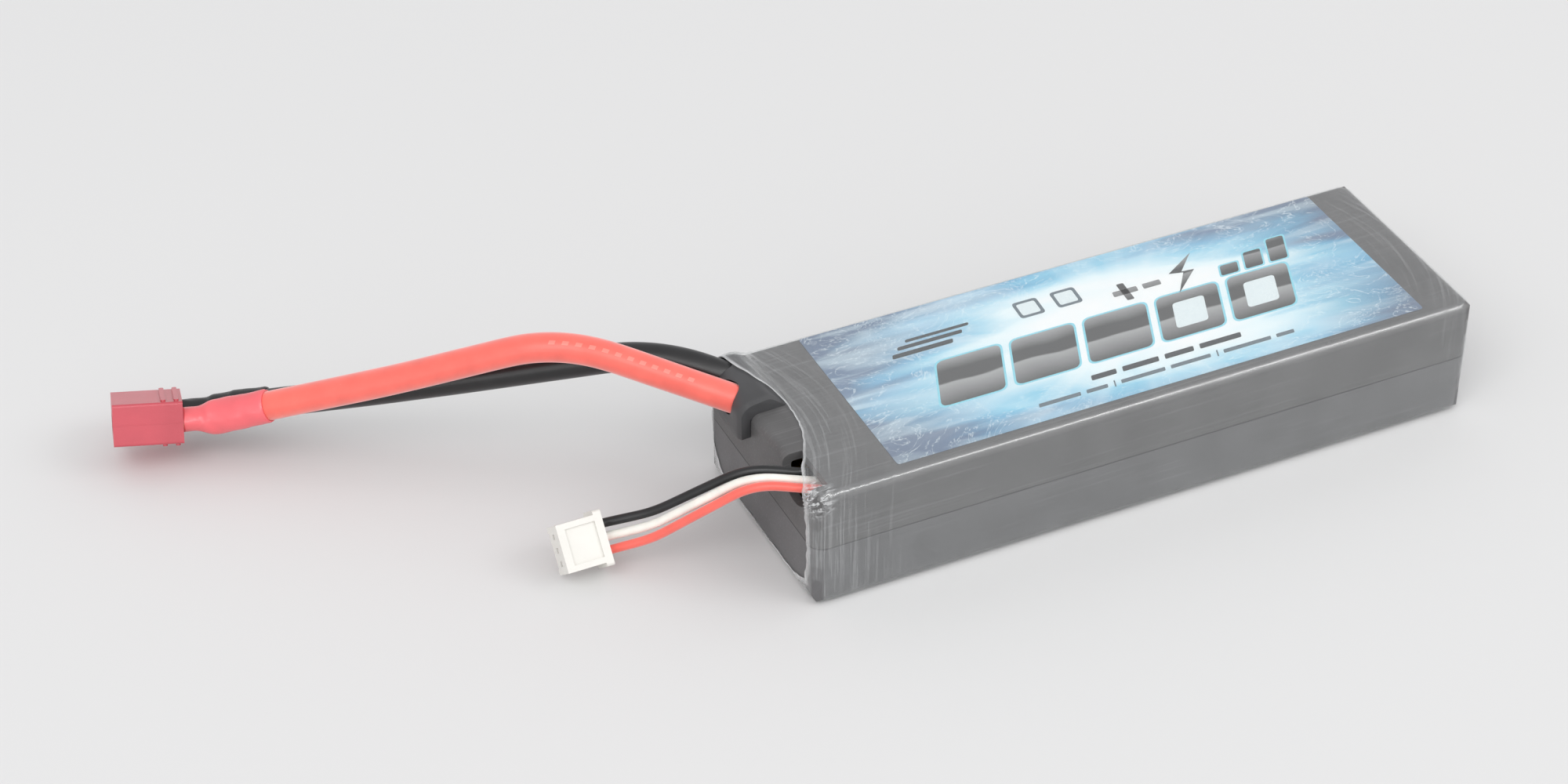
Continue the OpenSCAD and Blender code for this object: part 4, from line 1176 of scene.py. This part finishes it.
def round_poly(poly, radius):
    """Polygon with rounded corners, six points to a corner."""
    out = []
    for before, corner, after in corners(poly):
        a, b = before - corner, after - corner
        len_a, len_b = np.linalg.norm(a), np.linalg.norm(b)
        cut = min(radius, len_a * 0.45, len_b * 0.45)
        start, end = corner + a / len_a * cut, corner + b / len_b * cut
        for t in np.arange(6) / 5:
            out.append((1 - t) ** 2 * start + 2 * t * (1 - t) * corner + t ** 2 * end)
    return out


def grow(poly, margin):
    """Polygon offset outwards."""
    centre = np.mean(np.array(poly), 0)
    out = []
    for before, corner, after in corners(poly):
        edge_1 = (corner - before) / np.linalg.norm(corner - before)
        edge_2 = (after - corner) / np.linalg.norm(after - corner)
        n1, n2 = np.array([edge_1[1], -edge_1[0]]), np.array([edge_2[1], -edge_2[0]])
        if n1 @ (corner - centre) < 0 and n2 @ (corner - centre) < 0:
            n1, n2 = -n1, -n2
        middle = n1 + n2
        middle /= np.linalg.norm(middle)
        out.append(corner + middle * margin / max(0.35, middle @ n1))
    return out


def prisms(name, polys, bottom, top, material):
    """Thin printed shapes; bottom and top are heights above the label."""
    verts, faces = [], []
    for poly in polys:
        count, base = len(poly), len(verts)
        area = sum(a[0] * b[1] - b[0] * a[1] for a, b in zip(poly, poly[1:] + poly[:1]))
        if area < 0:
            poly = poly[::-1]
        verts += [(x, y, LABEL_TOP + z) for z in (bottom, top) for x, y in poly]
        faces.append(tuple(base + i for i in range(count))[::-1])
        faces.append(tuple(base + count + i for i in range(count)))
        for i in range(count):
            j = (i + 1) % count
            faces.append((base + i, base + j, base + count + j, base + count + i))
    ob = new_mesh(name, verts, faces, smooth=False)
    set_mat(ob, material)
    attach(ob, "pack")


def rounded_all(polys, radius):
    return [round_poly(poly, radius) for poly in polys]


# Gauge of five slanted cells, the last two with a pale window
CELL_WIDTH, CELL_GAP = 13.2, 2.2
CELL_XS = [-36.4 + k * (CELL_WIDTH + CELL_GAP) for k in range(5)]
cells = [slanted(x, x + CELL_WIDTH, -8.2, 4.2) for x in CELL_XS]
windows = [[(px + 1.0, py) for px, py in slanted(x + 3.3, x + CELL_WIDTH - 3.1, -5.6, 1.6)]
           for x in CELL_XS[3:]]
prisms("label_gauge_outline", rounded_all([grow(cell, 0.42) for cell in cells], 1.9),
       0.002, 0.010, "print_cyan_outline")
prisms("label_gauge_cells", rounded_all(cells, 1.6), 0.003, 0.018, "print_gradient_large")
prisms("label_gauge_windows", rounded_all(windows, 0.9), 0.006, 0.024, "print_pale")

# Plus, minus, bolt and three rising bars
bolt = [(20.2, 4.0), (26.6, 9.6), (24.0, 9.9), (28.6, 14.6), (21.4, 10.2), (24.2, 9.5)]
bars = [slanted(30.2 + k * 5.4, 34.0 + k * 5.4, 5.4, 5.4 + 2.9 + 1.9 * k) for k in range(3)]
signs = [
    slanted(8.4, 13.6, 8.0, 9.5, shift=0.3),
    slanted(10.2, 11.7, 6.1, 11.4, shift=0.4),
    slanted(14.8, 18.6, 8.0, 9.5, shift=0.3),
]
prisms("label_symbol_outline", rounded_all([grow(bar, 0.36) for bar in bars], 0.7),
       0.002, 0.010, "print_cyan_outline")
prisms("label_symbols", [bolt] + rounded_all(bars, 0.6) + rounded_all(signs, 0.3),
       0.003, 0.018, "print_gradient_small")

# Plain rules in place of text: a bold row, and a thin row with two dividers
bold = []
x = -8.0
for length in (5.2, 7.6, 6.1, 8.8):
    bold.append(slanted(x, x + length, -12.9, -11.5, shift=0.5))
    x += length + 1.3
prisms("label_rules_bold", rounded_all(bold, 0.3), 0.003, 0.018, "print_dark_ink")

DIVIDER = None
thin = []
x = -20.5
for length in (8.6, 4.4, DIVIDER, 9.2, 8.4, DIVIDER, 10.1, 3.8):
    if length is DIVIDER:
        thin.append(slanted(x, x + 0.3, -16.3, -14.5, shift=0.6))
        x += 1.6
    else:
        thin.append(slanted(x, x + length, -15.9, -14.9, shift=0.35))
        x += length + 1.2
prisms("label_rules_thin", rounded_all(thin, 0.2), 0.003, 0.018, "print_soft_ink")

# Badge of three slanted bars near the wire end
badge = [
    slanted(-38.0, -25.5, 8.3, 9.5),
    slanted(-36.0, -22.6, 10.3, 11.3),
    slanted(-33.6, -20.4, 12.0, 12.8),
]
prisms("label_badge", rounded_all(badge, 0.4), 0.003, 0.018, "print_dark_ink")

# Two framed squares
icon_frames = [slanted(x0, x1, 9.4, 14.4, shift=0.4) for x0, x1 in ((-10.6, -5.4), (-2.6, 2.6))]
icon_fields = [slanted(x0, x1, 10.1, 13.7, shift=0.3)
               for x0, x1 in ((-9.9, -6.05), (-1.9, 1.95))]
prisms("label_icon_frames", rounded_all(icon_frames, 0.8), 0.002, 0.012, "print_soft_ink")
prisms("label_icon_fields", rounded_all(icon_fields, 0.5), 0.006, 0.018, "print_pale")

# ------------------------------------------------------------------ moulded edges
for piece, width in (("balance_housing", 0.16), ("plug_housing", 0.20), ("case_base", 0.12),
                     ("case_lid", 0.12)):
    add_bevel(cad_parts[piece], "soft_edge", width, segments=3, angle=50)

# ------------------------------------------------------------------ stage (metres from here on)
FLOOR_HALF = 6.0
bm = bmesh.new()
bm.faces.new([bm.verts.new((sx * FLOOR_HALF, sy * FLOOR_HALF, 0))
              for sx, sy in ((-1, -1), (1, -1), (1, 1), (-1, 1))])
floor_mesh = bpy.data.meshes.new("studio_floor")
bm.to_mesh(floor_mesh)
bm.free()
floor = link_object("studio_floor", floor_mesh)
floor.location.z = min(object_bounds()[0][2], 0.0) - 0.0001
s = new_material("studio_floor")
s.done(s.principled((0.72, 0.72, 0.72), 0.9))
set_mat(floor, "studio_floor")

# World light, brighter towards -Y
s = Shader(bpy.data.worlds.new("studio"), "ShaderNodeOutputWorld")
bpy.context.scene.world = s.owner
direction = s.split(s.node("ShaderNodeTexCoord").outputs["Generated"])
sky = s.ramp(s.math("MULTIPLY_ADD", direction[1], 0.5, 0.5),
             [(0.0, WHITE), (1.0, (0.62, 0.62, 0.63))])
s.done(s.node("ShaderNodeBackground", {"Color": sky, "Strength": 1.06}).outputs[0])


def area_light(name, place, target, size, power, size_y=None):
    light = bpy.data.lights.new(name, "AREA")
    light.energy = power
    light.size = size
    if size_y:
        light.shape = "RECTANGLE"
        light.size_y = size_y
    ob = link_object(name, light)
    ob.location = place
    ob.rotation_euler = (Vector(target) - Vector(place)).to_track_quat("-Z", "Y").to_euler()
    return ob


area_light("soft_left", (-1.0, -0.7, 1.3), (-0.02, 0, 0.01), size=0.9, power=7.0)
area_light("soft_right", (0.9, -0.9, 1.2), (0, 0, 0.01), size=0.8, power=5.0)
# The strips only draw highlights
STRIP_TARGET = (0, -0.02, 0.02)
strips = [
    area_light("strip_edge", (0.42, -0.80, 1.02), STRIP_TARGET, size=3.0, power=14.0, size_y=0.22),
    area_light("strip_corner", (-1.1, -0.75, 0.55), STRIP_TARGET, size=0.25, power=3.0,
               size_y=1.2),
]
for strip in strips:
    strip.visible_diffuse = False
    strip.visible_transmission = False

camera = bpy.data.cameras.new("camera")
camera.lens = 82.82
camera.sensor_width = 36
camera.clip_start = 0.01
camera.clip_end = 50
camera_ob = link_object("camera", camera)
CAMERA_RIGHT = (0.90465525, -0.42614296, -0.00102458)
CAMERA_UP = (0.2591842, 0.54830827, 0.79509848)
CAMERA_BACK = (-0.33826383, -0.71955557, 0.60647948)
pose = Matrix((CAMERA_RIGHT, CAMERA_UP, CAMERA_BACK)).transposed().to_4x4()
pose.translation = Vector((-0.281574, -0.462895, 0.421723))
camera_ob.matrix_world = pose
bpy.context.scene.camera = camera_ob
bpy.context.scene.view_settings.view_transform = "Standard"
